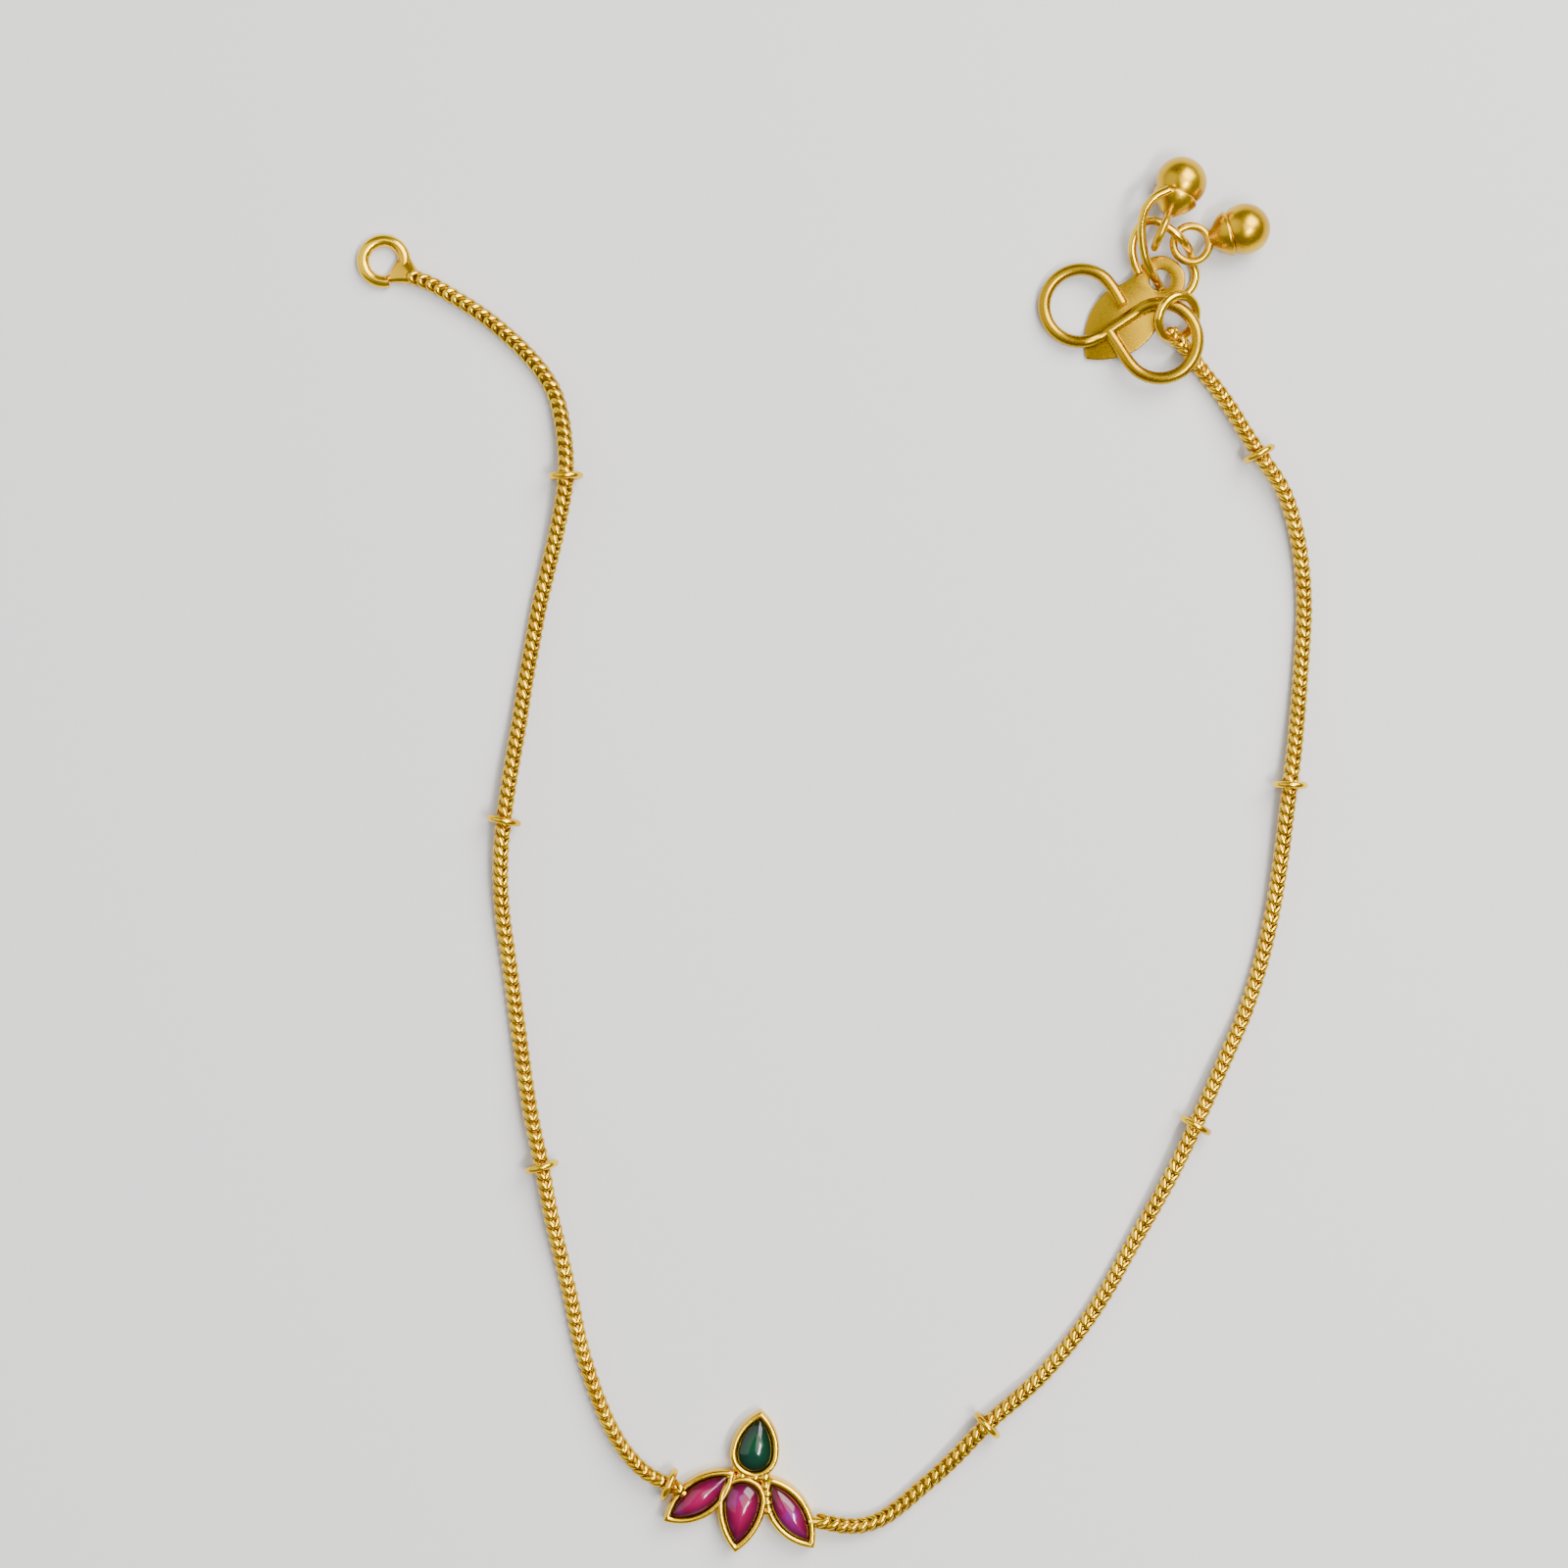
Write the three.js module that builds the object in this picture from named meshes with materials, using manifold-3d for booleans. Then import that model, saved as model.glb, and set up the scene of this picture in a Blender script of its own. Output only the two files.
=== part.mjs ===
// Anklet of gold-plated brass, unfastened and lying open on a flat surface.
// A woven chain in two lengths carries a flower of four set stones, eight spacer rings,
// an end ring, and an S-hook with a leaf plate, a bell ring and two round bells.
// Millimetres, +Z up, seen in plan from above; the surface is z = 0.

import * as THREE from 'three';
import { mergeVertices } from 'three/addons/utils/BufferGeometryUtils.js';
import Module from 'manifold-3d';

const wasm = await Module();
wasm.setup();

// Driving sizes of the chain
const chainDiameter = 1.5;
const chainSides = 8;
const chainStep = 3.4;

// Spacer rings: eight small rings that ride on the chain
const spacerBore = 1.86;
const spacerWire = 0.62;
const spacerLean = 5;

// End ring, and the ring that links the chain to the S-hook
const endRingBore = 2.5;
const endRingWire = 1.1;
const claspRingBore = 3.0;
const claspRingWire = 0.85;
const claspRingTilt = 35;
const claspRingHigh = 145;
const capRadius = 0.74;
const capFlare = 1.0;

// S-hook and the leaf plate soldered under its bar
const hookWire = 1.1;
const openLoopRadius = 3.15;
const closedLoopRadius = 3.25;
const hookSpan = 7.6;
const hookHeading = -24.6;
const hookRise = 0.3;
const mouthTurn = 56;
const mouthRun = 1.9;
const footTurn = -120;
const footShare = 0.2;
const claspTilt = 8.3;
const leafHalfWidth = 2.8;
const leafShoulder = 4.95;
const leafWaistHalfWidth = 2.0;
const leafWaist = 7.6;
const leafEye = 9.35;
const leafEyeRadius = 2.15;
const leafHoleRadius = 0.95;
const leafThickness = 0.45;
const leafHeading = -43.8;
const leafTip = [-3.05, -3.0];

// Bell ring and bells
const bellRingWire = 0.76;
const ballRadius = 2.2;
const bellCapRadius = 1.78;
const bellCapLength = 1.1;
const bellNeckRadius = 0.5;
const bailBore = 2.4;
const bailWire = 0.7;

// Flower: bezels round four cabochon stones, on a backing disc
const bezelWall = 0.57;
const bezelHeight = 2.0;
const bezelFloor = 0.5;
const greenRadius = 2.12;
const pinkRadius = 2.13;
const greenLength = 5.87;
const pinkLength = 6.69;
const petalInnerBow = 1.9;
const petalOuterBow = 1.62;
const backingRadius = 1.75;
const granuleRadius = 0.42;
const stubRadius = 0.38;
const stoneBelowRim = 0.3;
const stoneCrown = 0.75;

// Clearances between pieces that are not soldered together
const chainEndGap = 0.3;
const stoneClearance = 0.1;
const solderDepth = 0.1;
const restGap = 0.03;

// Worked-out sizes
const chainRadius = chainDiameter / 2;
const spacerOuterRadius = spacerBore / 2 + spacerWire;
const spacerLift = spacerOuterRadius - chainRadius;
const stubHeight = spacerOuterRadius;
const bellReach = ballRadius + bellCapLength - 0.06 + (bailBore + bailWire) / 2;
const leafDepth = hookWire / 2 + leafThickness - solderDepth;

// Places in plan; the ring, the bells and their coil are placed from the middle of the S-hook
const endRingPlace = [-39.4, 51.4];
const flowerPlace = [-7.65, -54.2];
const claspPlace = [24.6, 45.9];
const claspRingOffset = [4.85, 0.45];
const ball1Offset = [5.2, 12.15];
const ball2Offset = [10.7, 8.1];

// Routes of the two chains: x, y, and the share of the spacer's lift at that point
const chainRoutes = {
  left: [
    [-36.85, 50.0, 0], [-35.3, 49.4, 0], [-33.5, 48.4, 0], [-30.8, 46.7, 0],
    [-28.8, 45.1, 0], [-27.0, 43.4, 0], [-25.5, 41.6, 0.05], [-24.4, 39.6, 0.2],
    [-23.7, 36.5, 0.65], [-23.5, 32.7, 1], [-24.2, 28.4, 0.6], [-25.1, 24.6, 0.15],
    [-25.9, 21.2, 0], [-26.5, 17.9, 0], [-27.1, 14.5, 0.1], [-27.6, 11.1, 0.4],
    [-28.2, 7.6, 0.8], [-28.9, 2.8, 1], [-29.2, -0.9, 0.7], [-29.1, -4.9, 0.2],
    [-28.5, -9.4, 0], [-27.7, -15.2, 0.1], [-27.1, -19.4, 0.4], [-26.5, -23.0, 0.8],
    [-25.6, -27.2, 1], [-24.8, -31.5, 0.65], [-24.0, -35.0, 0.2], [-23.2, -38.4, 0],
    [-22.2, -43.0, 0], [-21.0, -46.8, 0.15], [-19.6, -50.0, 0.4], [-18.1, -52.3, 0.7],
    [-16.4, -53.9, 0.9], [-14.6, -54.8, 1], [-14.15, -55.0, 1],
  ],
  right: [
    [-0.9, -58.1, 1], [0.5, -58.4, 0.9], [2.2, -58.4, 0.6], [4.0, -57.8, 0.3],
    [5.7, -56.6, 0.15], [7.3, -55.2, 0.25], [9.0, -53.7, 0.5], [10.7, -52.0, 0.8],
    [13.0, -49.6, 1], [15.7, -47.3, 0.75], [17.6, -45.6, 0.4], [19.6, -43.4, 0.1],
    [21.5, -41.0, 0], [23.4, -38.1, 0], [25.2, -34.9, 0], [27.1, -31.5, 0.3],
    [29.0, -28.0, 0.75], [31.1, -23.6, 1], [33.6, -18.1, 0.6], [35.2, -14.5, 0.2],
    [36.4, -11.1, 0], [37.3, -7.7, 0.05], [38.0, -4.2, 0.3], [38.5, -0.8, 0.65],
    [38.9, 2.6, 0.9], [39.3, 5.9, 1], [39.7, 9.0, 0.75], [40.1, 13.0, 0.3],
    [40.4, 17.0, 0], [40.6, 21.2, 0], [40.4, 24.8, 0.1], [39.8, 28.2, 0.4],
    [38.7, 31.4, 0.8], [36.6, 34.6, 1], [35.4, 36.5, 0.8], [34.4, 38.2, 0.5],
    [33.2, 40.0, 0.15], [32.1, 41.4, 0], [31.1, 42.7, 0], [30.3, 43.75, 0.5],
  ],
};

// Spacer rings: the chain that each one rides on, its place along the route and its lean
const spacers = [
  { chain: 'left', point: 9, lean: 1 },
  { chain: 'left', point: 17, lean: -1 },
  { chain: 'left', point: 24, lean: 1 },
  { chain: 'left', point: 33, lean: 0 },
  { chain: 'right', point: 8, lean: 0 },
  { chain: 'right', point: 17, lean: -1 },
  { chain: 'right', point: 25, lean: 1 },
  { chain: 'right', point: 33, lean: -1 },
];

// The bell ring is one springy coil of wire, bent by hand; its middle line from the S-hook's middle
const bellRingRoute = [
  [4, 11.2, 4.7], [2.8, 10.6, 4.65], [1.95, 9.6, 4.4], [1.65, 8.3, 3.95], [1.75, 6.7, 3.4],
  [2.1, 5.3, 2.9], [2.5, 4.5, 2.45], [2.9, 3.95, 1.9], [3.27, 3.52, 1.1], [3.6, 3.1, 0.52],
  [4.4, 2.55, 0.41], [5.5, 2.5, 0.41], [6.35, 3.3, 0.42], [6.6, 4.3, 0.5], [6.35, 5.2, 0.8],
  [6.15, 5.85, 1.2], [5.85, 6.4, 1.95], [5.35, 6.95, 2.7], [4.65, 7.6, 3.05], [3.7, 8.25, 3.1],
  [2.8, 8.7, 3], [2, 8.6, 2.75], [1.25, 7.7, 2.4], [0.95, 6.5, 2.15], [1.15, 5.3, 1.9],
  [1.55, 4.3, 1.75],
];

// Shared tools
const deg = THREE.MathUtils.degToRad;

function vector(row) {
  return new THREE.Vector3(row[0], row[1], row[2]);
}

function bare(geometry) {
  const plain = geometry.index ? geometry : geometry.clone();
  plain.deleteAttribute('normal');
  plain.deleteAttribute('uv');
  return mergeVertices(plain, 1e-4);
}

function solidOf(geometry) {
  const merged = bare(geometry);
  const vertProperties = new Float32Array(merged.attributes.position.array);
  const triVerts = new Uint32Array(merged.index.array);
  return new wasm.Manifold(new wasm.Mesh({ numProp: 3, vertProperties, triVerts }));
}

function geometryOf(solid) {
  const mesh = solid.getMesh();
  const geometry = new THREE.BufferGeometry();
  geometry.setAttribute('position', new THREE.BufferAttribute(mesh.vertProperties, 3));
  geometry.setIndex(new THREE.BufferAttribute(mesh.triVerts, 1));
  geometry.computeVertexNormals();
  return geometry;
}

function joined(geometries) {
  let solid = solidOf(geometries[0]);
  for (const geometry of geometries.slice(1)) {
    solid = solid.add(solidOf(geometry));
  }
  return solid;
}

function section(radius, sides) {
  const shape = new THREE.Shape();
  for (let i = 0; i < sides; i += 1) {
    const angle = (2 * Math.PI * (i + 0.5)) / sides;
    const place = [radius * Math.cos(angle), radius * Math.sin(angle)];
    if (i === 0) {
      shape.moveTo(...place);
    } else {
      shape.lineTo(...place);
    }
  }
  shape.closePath();
  return shape;
}

function tube(curve, radius, sides, steps) {
  const options = { extrudePath: curve, steps, bevelEnabled: false };
  return new THREE.ExtrudeGeometry(section(radius, sides), options);
}

function ring(bore, wire, around = 16, sides = 6) {
  return new THREE.TorusGeometry((bore + wire) / 2, wire / 2, sides, around);
}

function taper(from, to, fromRadius, toRadius, flat = 1) {
  const axis = to.clone().sub(from);
  const cone = new THREE.CylinderGeometry(toRadius, fromRadius, axis.length(), 12, 1);
  cone.scale(1, 1, flat);
  const sideways = new THREE.Vector3().crossVectors(axis, new THREE.Vector3(0, 0, 1)).normalize();
  const upward = new THREE.Vector3().crossVectors(sideways, axis).normalize();
  const turn = new THREE.Matrix4().makeBasis(sideways, axis.clone().normalize(), upward);
  turn.setPosition(from.clone().add(to).multiplyScalar(0.5));
  return cone.applyMatrix4(turn);
}

// Materials
const gold = new THREE.MeshStandardMaterial({ color: '#d8a21c', roughness: 0.32, metalness: 1 });
const wovenGold = new THREE.MeshStandardMaterial({ color: '#cf9a1a', roughness: 0.4, metalness: 1 });
const pink = new THREE.MeshStandardMaterial({ color: '#b3155e', roughness: 0.08, metalness: 0 });
const green = new THREE.MeshStandardMaterial({ color: '#0d5a33', roughness: 0.08, metalness: 0 });

const anklet = new THREE.Group();

function place(name, geometry, material, parent = anklet) {
  const mesh = new THREE.Mesh(geometry, material.clone());
  mesh.name = name;
  parent.add(mesh);
  return mesh;
}

// Chains: a plain tube along each route, lifted where a spacer ring carries it
function chainCurve(route) {
  const points = route.map(([x, y, share]) => new THREE.Vector3(x, y, chainRadius + share * spacerLift));
  return new THREE.CatmullRomCurve3(points, false, 'centripetal');
}

function chainSteps(curve) {
  return Math.round(curve.getLength() / chainStep);
}

const chainCurves = { left: chainCurve(chainRoutes.left), right: chainCurve(chainRoutes.right) };

for (const [side, curve] of Object.entries(chainCurves)) {
  place(`chain_${side}`, tube(curve, chainRadius, chainSides, chainSteps(curve)), wovenGold);
}

// Spacer rings sit square on the straight length of tube that passes through them
function seatOnChain(side, point) {
  const stations = chainCurves[side].getSpacedPoints(chainSteps(chainCurves[side]));
  const target = vector([...chainRoutes[side][point].slice(0, 2), spacerOuterRadius]);
  const seat = { distance: Infinity };
  for (let i = 1; i < stations.length; i += 1) {
    const stretch = new THREE.Line3(stations[i - 1], stations[i]);
    const nearest = stretch.closestPointToPoint(target, true, new THREE.Vector3());
    const distance = nearest.distanceTo(target);
    if (distance < seat.distance) {
      Object.assign(seat, { distance, nearest, along: stretch.delta(new THREE.Vector3()).normalize() });
    }
  }
  return seat;
}

spacers.forEach(({ chain, point, lean }, index) => {
  const seat = seatOnChain(chain, point);
  const mesh = place(`spacer_ring_${index + 1}`, ring(spacerBore, spacerWire, 12, 6), gold);
  mesh.position.set(seat.nearest.x, seat.nearest.y, spacerOuterRadius);
  const level = seat.along.clone().setZ(0).applyAxisAngle(new THREE.Vector3(0, 0, 1), deg(lean * spacerLean));
  mesh.quaternion.setFromUnitVectors(new THREE.Vector3(0, 0, 1), level.normalize());
});

// End ring at the free end, with its soldered cap that holds the chain
function chainEnd(side, first) {
  const curve = chainCurves[side];
  const end = curve.getPointAt(first ? 0 : 1);
  const outward = curve.getTangentAt(first ? 0 : 1).multiplyScalar(first ? -1 : 1);
  return { end, outward };
}

// A soldered cap runs from the chain's mouth to the nearest point of the ring's middle line
function nearestOnRing(middle, bore, wire, axis, mouth) {
  const toward = mouth.clone().sub(middle).projectOnPlane(axis).normalize();
  return middle.clone().addScaledVector(toward, (bore + wire) / 2);
}

function endRing() {
  const { end, outward } = chainEnd('left', true);
  const middle = vector([...endRingPlace, endRingWire / 2]);
  const hoop = ring(endRingBore, endRingWire, 16, 8);
  hoop.translate(...middle);
  const mouth = end.clone().addScaledVector(outward, chainEndGap);
  const root = nearestOnRing(middle, endRingBore, endRingWire, new THREE.Vector3(0, 0, 1), mouth);
  root.z = mouth.z;
  return geometryOf(joined([hoop, taper(root, mouth, capFlare, capRadius, 0.7)]));
}

place('end_ring', endRing(), gold);

// S-hook: a straight mouth, the open loop, the bar, the closed loop and its soldered foot
function hookCurve() {
  const reach = hookSpan / 2;
  const slope = Math.asin((openLoopRadius + closedLoopRadius) / hookSpan);
  const onLoop = (middle, radius, angle) => new THREE.Vector3(
    middle + radius * Math.cos(angle), radius * Math.sin(angle), hookRise);
  const open = [];
  for (let i = 0; i <= 10; i += 1) {
    const angle = THREE.MathUtils.lerp(deg(mouthTurn), slope + 1.5 * Math.PI, i / 10);
    open.push(onLoop(-reach, openLoopRadius, angle));
  }
  const closed = [];
  for (let i = 0; i <= 10; i += 1) {
    const angle = THREE.MathUtils.lerp(slope + 0.5 * Math.PI, deg(footTurn), i / 10);
    closed.push(onLoop(reach, closedLoopRadius, angle));
  }
  open[10].z = 0;
  closed[0].z = 0;
  const foot = open[10].clone().lerp(closed[0], footShare);
  const mouth = new THREE.Vector3(Math.sin(deg(mouthTurn)), -Math.cos(deg(mouthTurn)), 0);
  const start = open[0].clone().addScaledVector(mouth, mouthRun);
  const bar = [0.33, 0.67].map((share) => open[10].clone().lerp(closed[0], share));
  const nearFoot = closed[10].clone().lerp(foot, 0.55).setZ(0.35 * hookRise);
  const points = [start, ...open, ...bar, ...closed, nearFoot, foot];
  return new THREE.CatmullRomCurve3(points, false, 'centripetal');
}

function leafOutline() {
  const shape = new THREE.Shape();
  const [half, waist, eye] = [leafHalfWidth, leafWaistHalfWidth, leafEyeRadius];
  const side = deg(-20);
  const sideX = eye * Math.cos(side);
  const sideY = leafEye + eye * Math.sin(side);
  const hollow = (leafWaist + sideY) / 2;
  shape.moveTo(0, 0);
  shape.bezierCurveTo(0.68 * half, 0.38 * leafShoulder, half, 0.67 * leafShoulder, half, leafShoulder);
  shape.bezierCurveTo(half, 0.5 * (leafShoulder + leafWaist), waist, 0.8 * leafWaist + 0.2 * leafShoulder,
    waist, leafWaist);
  shape.quadraticCurveTo(0.9 * waist, hollow, sideX, sideY);
  shape.absarc(0, leafEye, eye, side, Math.PI - side, false);
  shape.quadraticCurveTo(-0.9 * waist, hollow, -waist, leafWaist);
  shape.bezierCurveTo(-waist, 0.8 * leafWaist + 0.2 * leafShoulder, -half, 0.5 * (leafShoulder + leafWaist),
    -half, leafShoulder);
  shape.bezierCurveTo(-half, 0.67 * leafShoulder, -0.68 * half, 0.38 * leafShoulder, 0, 0);
  const hole = new THREE.Path();
  hole.absarc(0, leafEye, leafHoleRadius, 0, 2 * Math.PI, true);
  shape.holes.push(hole);
  return shape;
}

function hookAndLeaf() {
  const wire = tube(hookCurve(), hookWire / 2, 8, 56);
  wire.rotateZ(deg(hookHeading));
  const leaf = new THREE.ExtrudeGeometry(leafOutline(), {
    depth: leafThickness, curveSegments: 5, bevelEnabled: false,
  });
  leaf.rotateZ(deg(leafHeading));
  leaf.translate(leafTip[0], leafTip[1], -leafDepth);
  return geometryOf(joined([wire, leaf]));
}

// The leaf's tip rests on the surface; the chain and the bell ring prop up the other side
const claspHeight = restGap + leafDepth - leafTip[0] * Math.sin(deg(claspTilt));
const clasp = new THREE.Group();
clasp.position.set(...claspPlace, claspHeight);
clasp.rotation.y = -deg(claspTilt);
anklet.add(clasp);
place('s_hook', hookAndLeaf(), gold, clasp);

// The ring through the closed loop, high on one side of the wire and low on the other
const claspRingHeight = claspHeight + claspRingOffset[0] * Math.tan(deg(claspTilt)) + 0.22;

function fromClasp([x, y, z]) {
  return new THREE.Vector3(claspPlace[0] + x, claspPlace[1] + y, z);
}

function claspRing() {
  const middle = fromClasp([...claspRingOffset, claspRingHeight]);
  const lean = new THREE.Euler(0, -deg(claspRingTilt), deg(claspRingHigh), 'ZYX');
  const hoop = ring(claspRingBore, claspRingWire, 16, 8);
  hoop.applyQuaternion(new THREE.Quaternion().setFromEuler(lean));
  hoop.translate(...middle);
  const { end, outward } = chainEnd('right', false);
  const mouth = end.clone().addScaledVector(outward, chainEndGap);
  const axis = new THREE.Vector3(0, 0, 1).applyEuler(lean);
  const root = nearestOnRing(middle, claspRingBore, claspRingWire, axis, mouth);
  return geometryOf(joined([hoop, taper(root, mouth, 0.7 * capRadius, capRadius)]));
}

place('clasp_ring', claspRing(), gold);

// Bell ring
function bellRing() {
  const curve = new THREE.CatmullRomCurve3(bellRingRoute.map(fromClasp), false, 'centripetal');
  return tube(curve, bellRingWire / 2, 8, 52);
}

place('bell_ring', bellRing(), gold);

// Bells: a ball in a flared cap, with a round loop soldered to the cap's neck
function ballProfile() {
  const start = Math.asin((bellCapRadius - 0.12) / ballRadius);
  const lip = ballRadius * Math.cos(start);
  const profile = [
    new THREE.Vector2(0, ballRadius + bellCapLength),
    new THREE.Vector2(bellNeckRadius, ballRadius + bellCapLength),
    new THREE.Vector2(bellNeckRadius * 1.1, ballRadius + 0.55 * bellCapLength),
    new THREE.Vector2(0.72 * bellCapRadius, ballRadius),
    new THREE.Vector2(bellCapRadius, lip + 0.24),
    new THREE.Vector2(bellCapRadius, lip + 0.06),
  ];
  const rows = 9;
  for (let i = 0; i < rows; i += 1) {
    const angle = start + ((Math.PI - start) * i) / rows;
    profile.push(new THREE.Vector2(ballRadius * Math.sin(angle), ballRadius * Math.cos(angle)));
  }
  profile.push(new THREE.Vector2(0, -ballRadius));
  return profile.reverse();
}

function bell(swivel) {
  const ball = new THREE.LatheGeometry(ballProfile(), 16);
  const loop = ring(bailBore, bailWire, 14, 6);
  loop.rotateY(deg(swivel));
  loop.translate(0, bellReach, 0);
  return geometryOf(joined([ball, loop]));
}

function placeBell(name, geometry, spot, heading, lift, roll) {
  const axis = new THREE.Vector3(Math.cos(deg(heading)) * Math.cos(deg(lift)),
    Math.sin(deg(heading)) * Math.cos(deg(lift)), Math.sin(deg(lift)));
  const mesh = place(name, geometry, gold);
  const side = new THREE.Vector3(0, 0, 1).cross(axis).normalize();
  const up = axis.clone().cross(side);
  const turn = new THREE.Matrix4().makeBasis(side, axis, up.negate());
  mesh.quaternion.setFromRotationMatrix(turn);
  mesh.rotateY(deg(roll));
  mesh.position.copy(fromClasp([...spot, ballRadius]));
}

placeBell('bell_1', bell(0), ball1Offset, 247.5, 11.5, 90);
placeBell('bell_2', bell(0), ball2Offset, 195.5, -2, 0);

// Flower outlines: a pear is a round end and two side arcs that meet at the tip
function pearArcs(radius, length) {
  const tip = length - radius;
  const side = (radius * radius + tip * tip) / (2 * radius);
  return { radius, side, offset: side - radius };
}

function pearShape(arcs, inset) {
  const radius = arcs.radius - inset;
  const side = arcs.side - inset;
  const sweep = Math.acos(arcs.offset / side);
  const shape = new THREE.Shape();
  shape.absarc(0, 0, radius, Math.PI, 2 * Math.PI, false);
  shape.absarc(-arcs.offset, 0, side, 0, sweep, false);
  shape.absarc(arcs.offset, 0, side, Math.PI - sweep, Math.PI, false);
  return shape;
}

// A petal is two arcs of different bow between its two points
function petalShape({ chord, leftBow, rightBow }, inset) {
  const arc = (bow) => (chord * chord / 4 + bow * bow) / (2 * bow);
  const [leftArc, rightArc] = [arc(leftBow), arc(rightBow)];
  const [leftCentre, rightCentre] = [leftArc - leftBow, rightBow - rightArc];
  const [leftRadius, rightRadius] = [leftArc - inset, rightArc - inset];
  const gap = leftCentre - rightCentre;
  const across = (leftRadius ** 2 - rightRadius ** 2 + gap ** 2) / (2 * gap);
  const x = leftCentre - across;
  const y = Math.sqrt(leftRadius ** 2 - across ** 2);
  const shape = new THREE.Shape();
  const turnRight = Math.atan2(y, x - rightCentre);
  const turnLeft = Math.atan2(y, x - leftCentre);
  shape.absarc(rightCentre, 0, rightRadius, -turnRight, turnRight, false);
  shape.absarc(leftCentre, 0, leftRadius, turnLeft, 2 * Math.PI - turnLeft, false);
  return shape;
}

// Each setting: where its outline's own origin lies in the flower, and which way it points
const greenArcs = pearArcs(greenRadius, greenLength);
const pinkArcs = pearArcs(pinkRadius, pinkLength);

function petalBetween(tip, foot, leftBow, rightBow) {
  const run = new THREE.Vector2(tip[0] - foot[0], tip[1] - foot[1]);
  const outline = { chord: run.length(), leftBow, rightBow };
  return {
    shape: (inset) => petalShape(outline, inset),
    place: [(tip[0] + foot[0]) / 2, (tip[1] + foot[1]) / 2],
    heading: THREE.MathUtils.radToDeg(run.angle()) - 90,
  };
}

const settings = {
  green: { shape: (inset) => pearShape(greenArcs, inset), place: [0.5, 2.08], heading: -9, stone: green },
  pink_middle: {
    shape: (inset) => pearShape(pinkArcs, inset), place: [-0.55, -1.98], heading: 171.8, stone: pink,
  },
  pink_left: { ...petalBetween([-7.4, -3.75], [-1.2, 0.6], petalInnerBow, petalOuterBow), stone: pink },
  pink_right: { ...petalBetween([5.65, -6.1], [1.6, 0.1], petalOuterBow, petalInnerBow), stone: pink },
};

function standing(shape, bottom, top, setting) {
  const geometry = new THREE.ExtrudeGeometry(shape, {
    depth: top - bottom, curveSegments: 5, bevelEnabled: false,
  });
  geometry.rotateZ(deg(setting.heading));
  geometry.translate(setting.place[0], setting.place[1], bottom);
  return geometry;
}

function soldered(x, y, z) {
  const bead = new THREE.SphereGeometry(granuleRadius, 10, 8);
  bead.translate(x, y, z);
  return bead;
}

function stub(side, first, wallX, wallY) {
  const { end, outward } = chainEnd(side, first);
  const tip = end.clone().addScaledVector(outward, chainEndGap);
  tip.x -= flowerPlace[0];
  tip.y -= flowerPlace[1];
  return taper(new THREE.Vector3(wallX, wallY, stubHeight), tip, stubRadius, stubRadius);
}

function flowerSetting() {
  const cups = Object.values(settings).map((setting) => standing(setting.shape(0), 0, bezelHeight, setting));
  const backing = new THREE.CylinderGeometry(backingRadius, backingRadius, bezelFloor, 20);
  backing.rotateX(Math.PI / 2);
  backing.translate(0, -0.4, bezelFloor / 2);
  const beads = [soldered(1.85, -0.75, 1.35), soldered(-1.6, 0.15, 1.3), soldered(1.62, -2.6, 1.3)];
  const stubs = [stub('left', false, -5.55, -1.5), stub('right', true, 5.2, -3.8)];
  let metal = joined([...cups, backing, ...beads, ...stubs]);
  for (const setting of Object.values(settings)) {
    const pocket = standing(setting.shape(bezelWall), bezelFloor, bezelHeight + 1, setting);
    metal = metal.subtract(solidOf(pocket));
  }
  return geometryOf(metal);
}

// Corner points of an outline, without the doubles where two of its arcs meet
function corners(shape) {
  const points = shape.getPoints(5);
  return points.filter((point, i) => point.distanceTo(points[(i + 1) % points.length]) > 1e-4);
}

// Cabochon: outlines that shrink as they rise, closed by a small flat crown
function cabochon(setting) {
  const edge = bezelWall + stoneClearance;
  const rows = [[0, 0], [1, 0], [1.35, 0.16], [1.65, 0.42]];
  const girdle = bezelHeight - stoneBelowRim;
  const bottom = bezelFloor + stoneClearance;
  const layers = rows.map(([share, inset], index) => {
    const points = corners(setting.shape(edge + inset));
    const rise = index < 2 ? bottom + share * (girdle - bottom) : girdle + (share - 1) * stoneCrown;
    return points.map((point) => [point.x, point.y, rise]);
  });
  const count = layers[0].length;
  const top = layers.length - 1;
  const positions = layers.flat(2);
  positions.push(0, 0, bottom, 0, 0, layers[top][0][2] + 0.1 * stoneCrown);
  const [under, crown] = [layers.length * count, layers.length * count + 1];
  const index = [];
  for (let i = 0; i < count; i += 1) {
    const next = (i + 1) % count;
    index.push(under, next, i);
    for (let layer = 0; layer < top; layer += 1) {
      const [low, high] = [layer * count, (layer + 1) * count];
      index.push(low + i, low + next, high + next, low + i, high + next, high + i);
    }
    index.push(top * count + i, top * count + next, crown);
  }
  const geometry = new THREE.BufferGeometry();
  geometry.setAttribute('position', new THREE.Float32BufferAttribute(positions, 3));
  geometry.setIndex(index);
  geometry.rotateZ(deg(setting.heading));
  geometry.translate(setting.place[0], setting.place[1], 0);
  geometry.computeVertexNormals();
  return geometry;
}

const flower = new THREE.Group();
flower.position.set(...flowerPlace, 0);
anklet.add(flower);
place('flower_setting', flowerSetting(), gold, flower);
for (const [name, setting] of Object.entries(settings)) {
  place(`stone_${name}`, cabochon(setting), setting.stone, flower);
}

// The middle of the whole outline goes over the origin
const outlineMiddle = new THREE.Box3().setFromObject(anklet, true).getCenter(new THREE.Vector3());
anklet.position.set(-outlineMiddle.x, -outlineMiddle.y, 0);

export default anklet;
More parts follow.
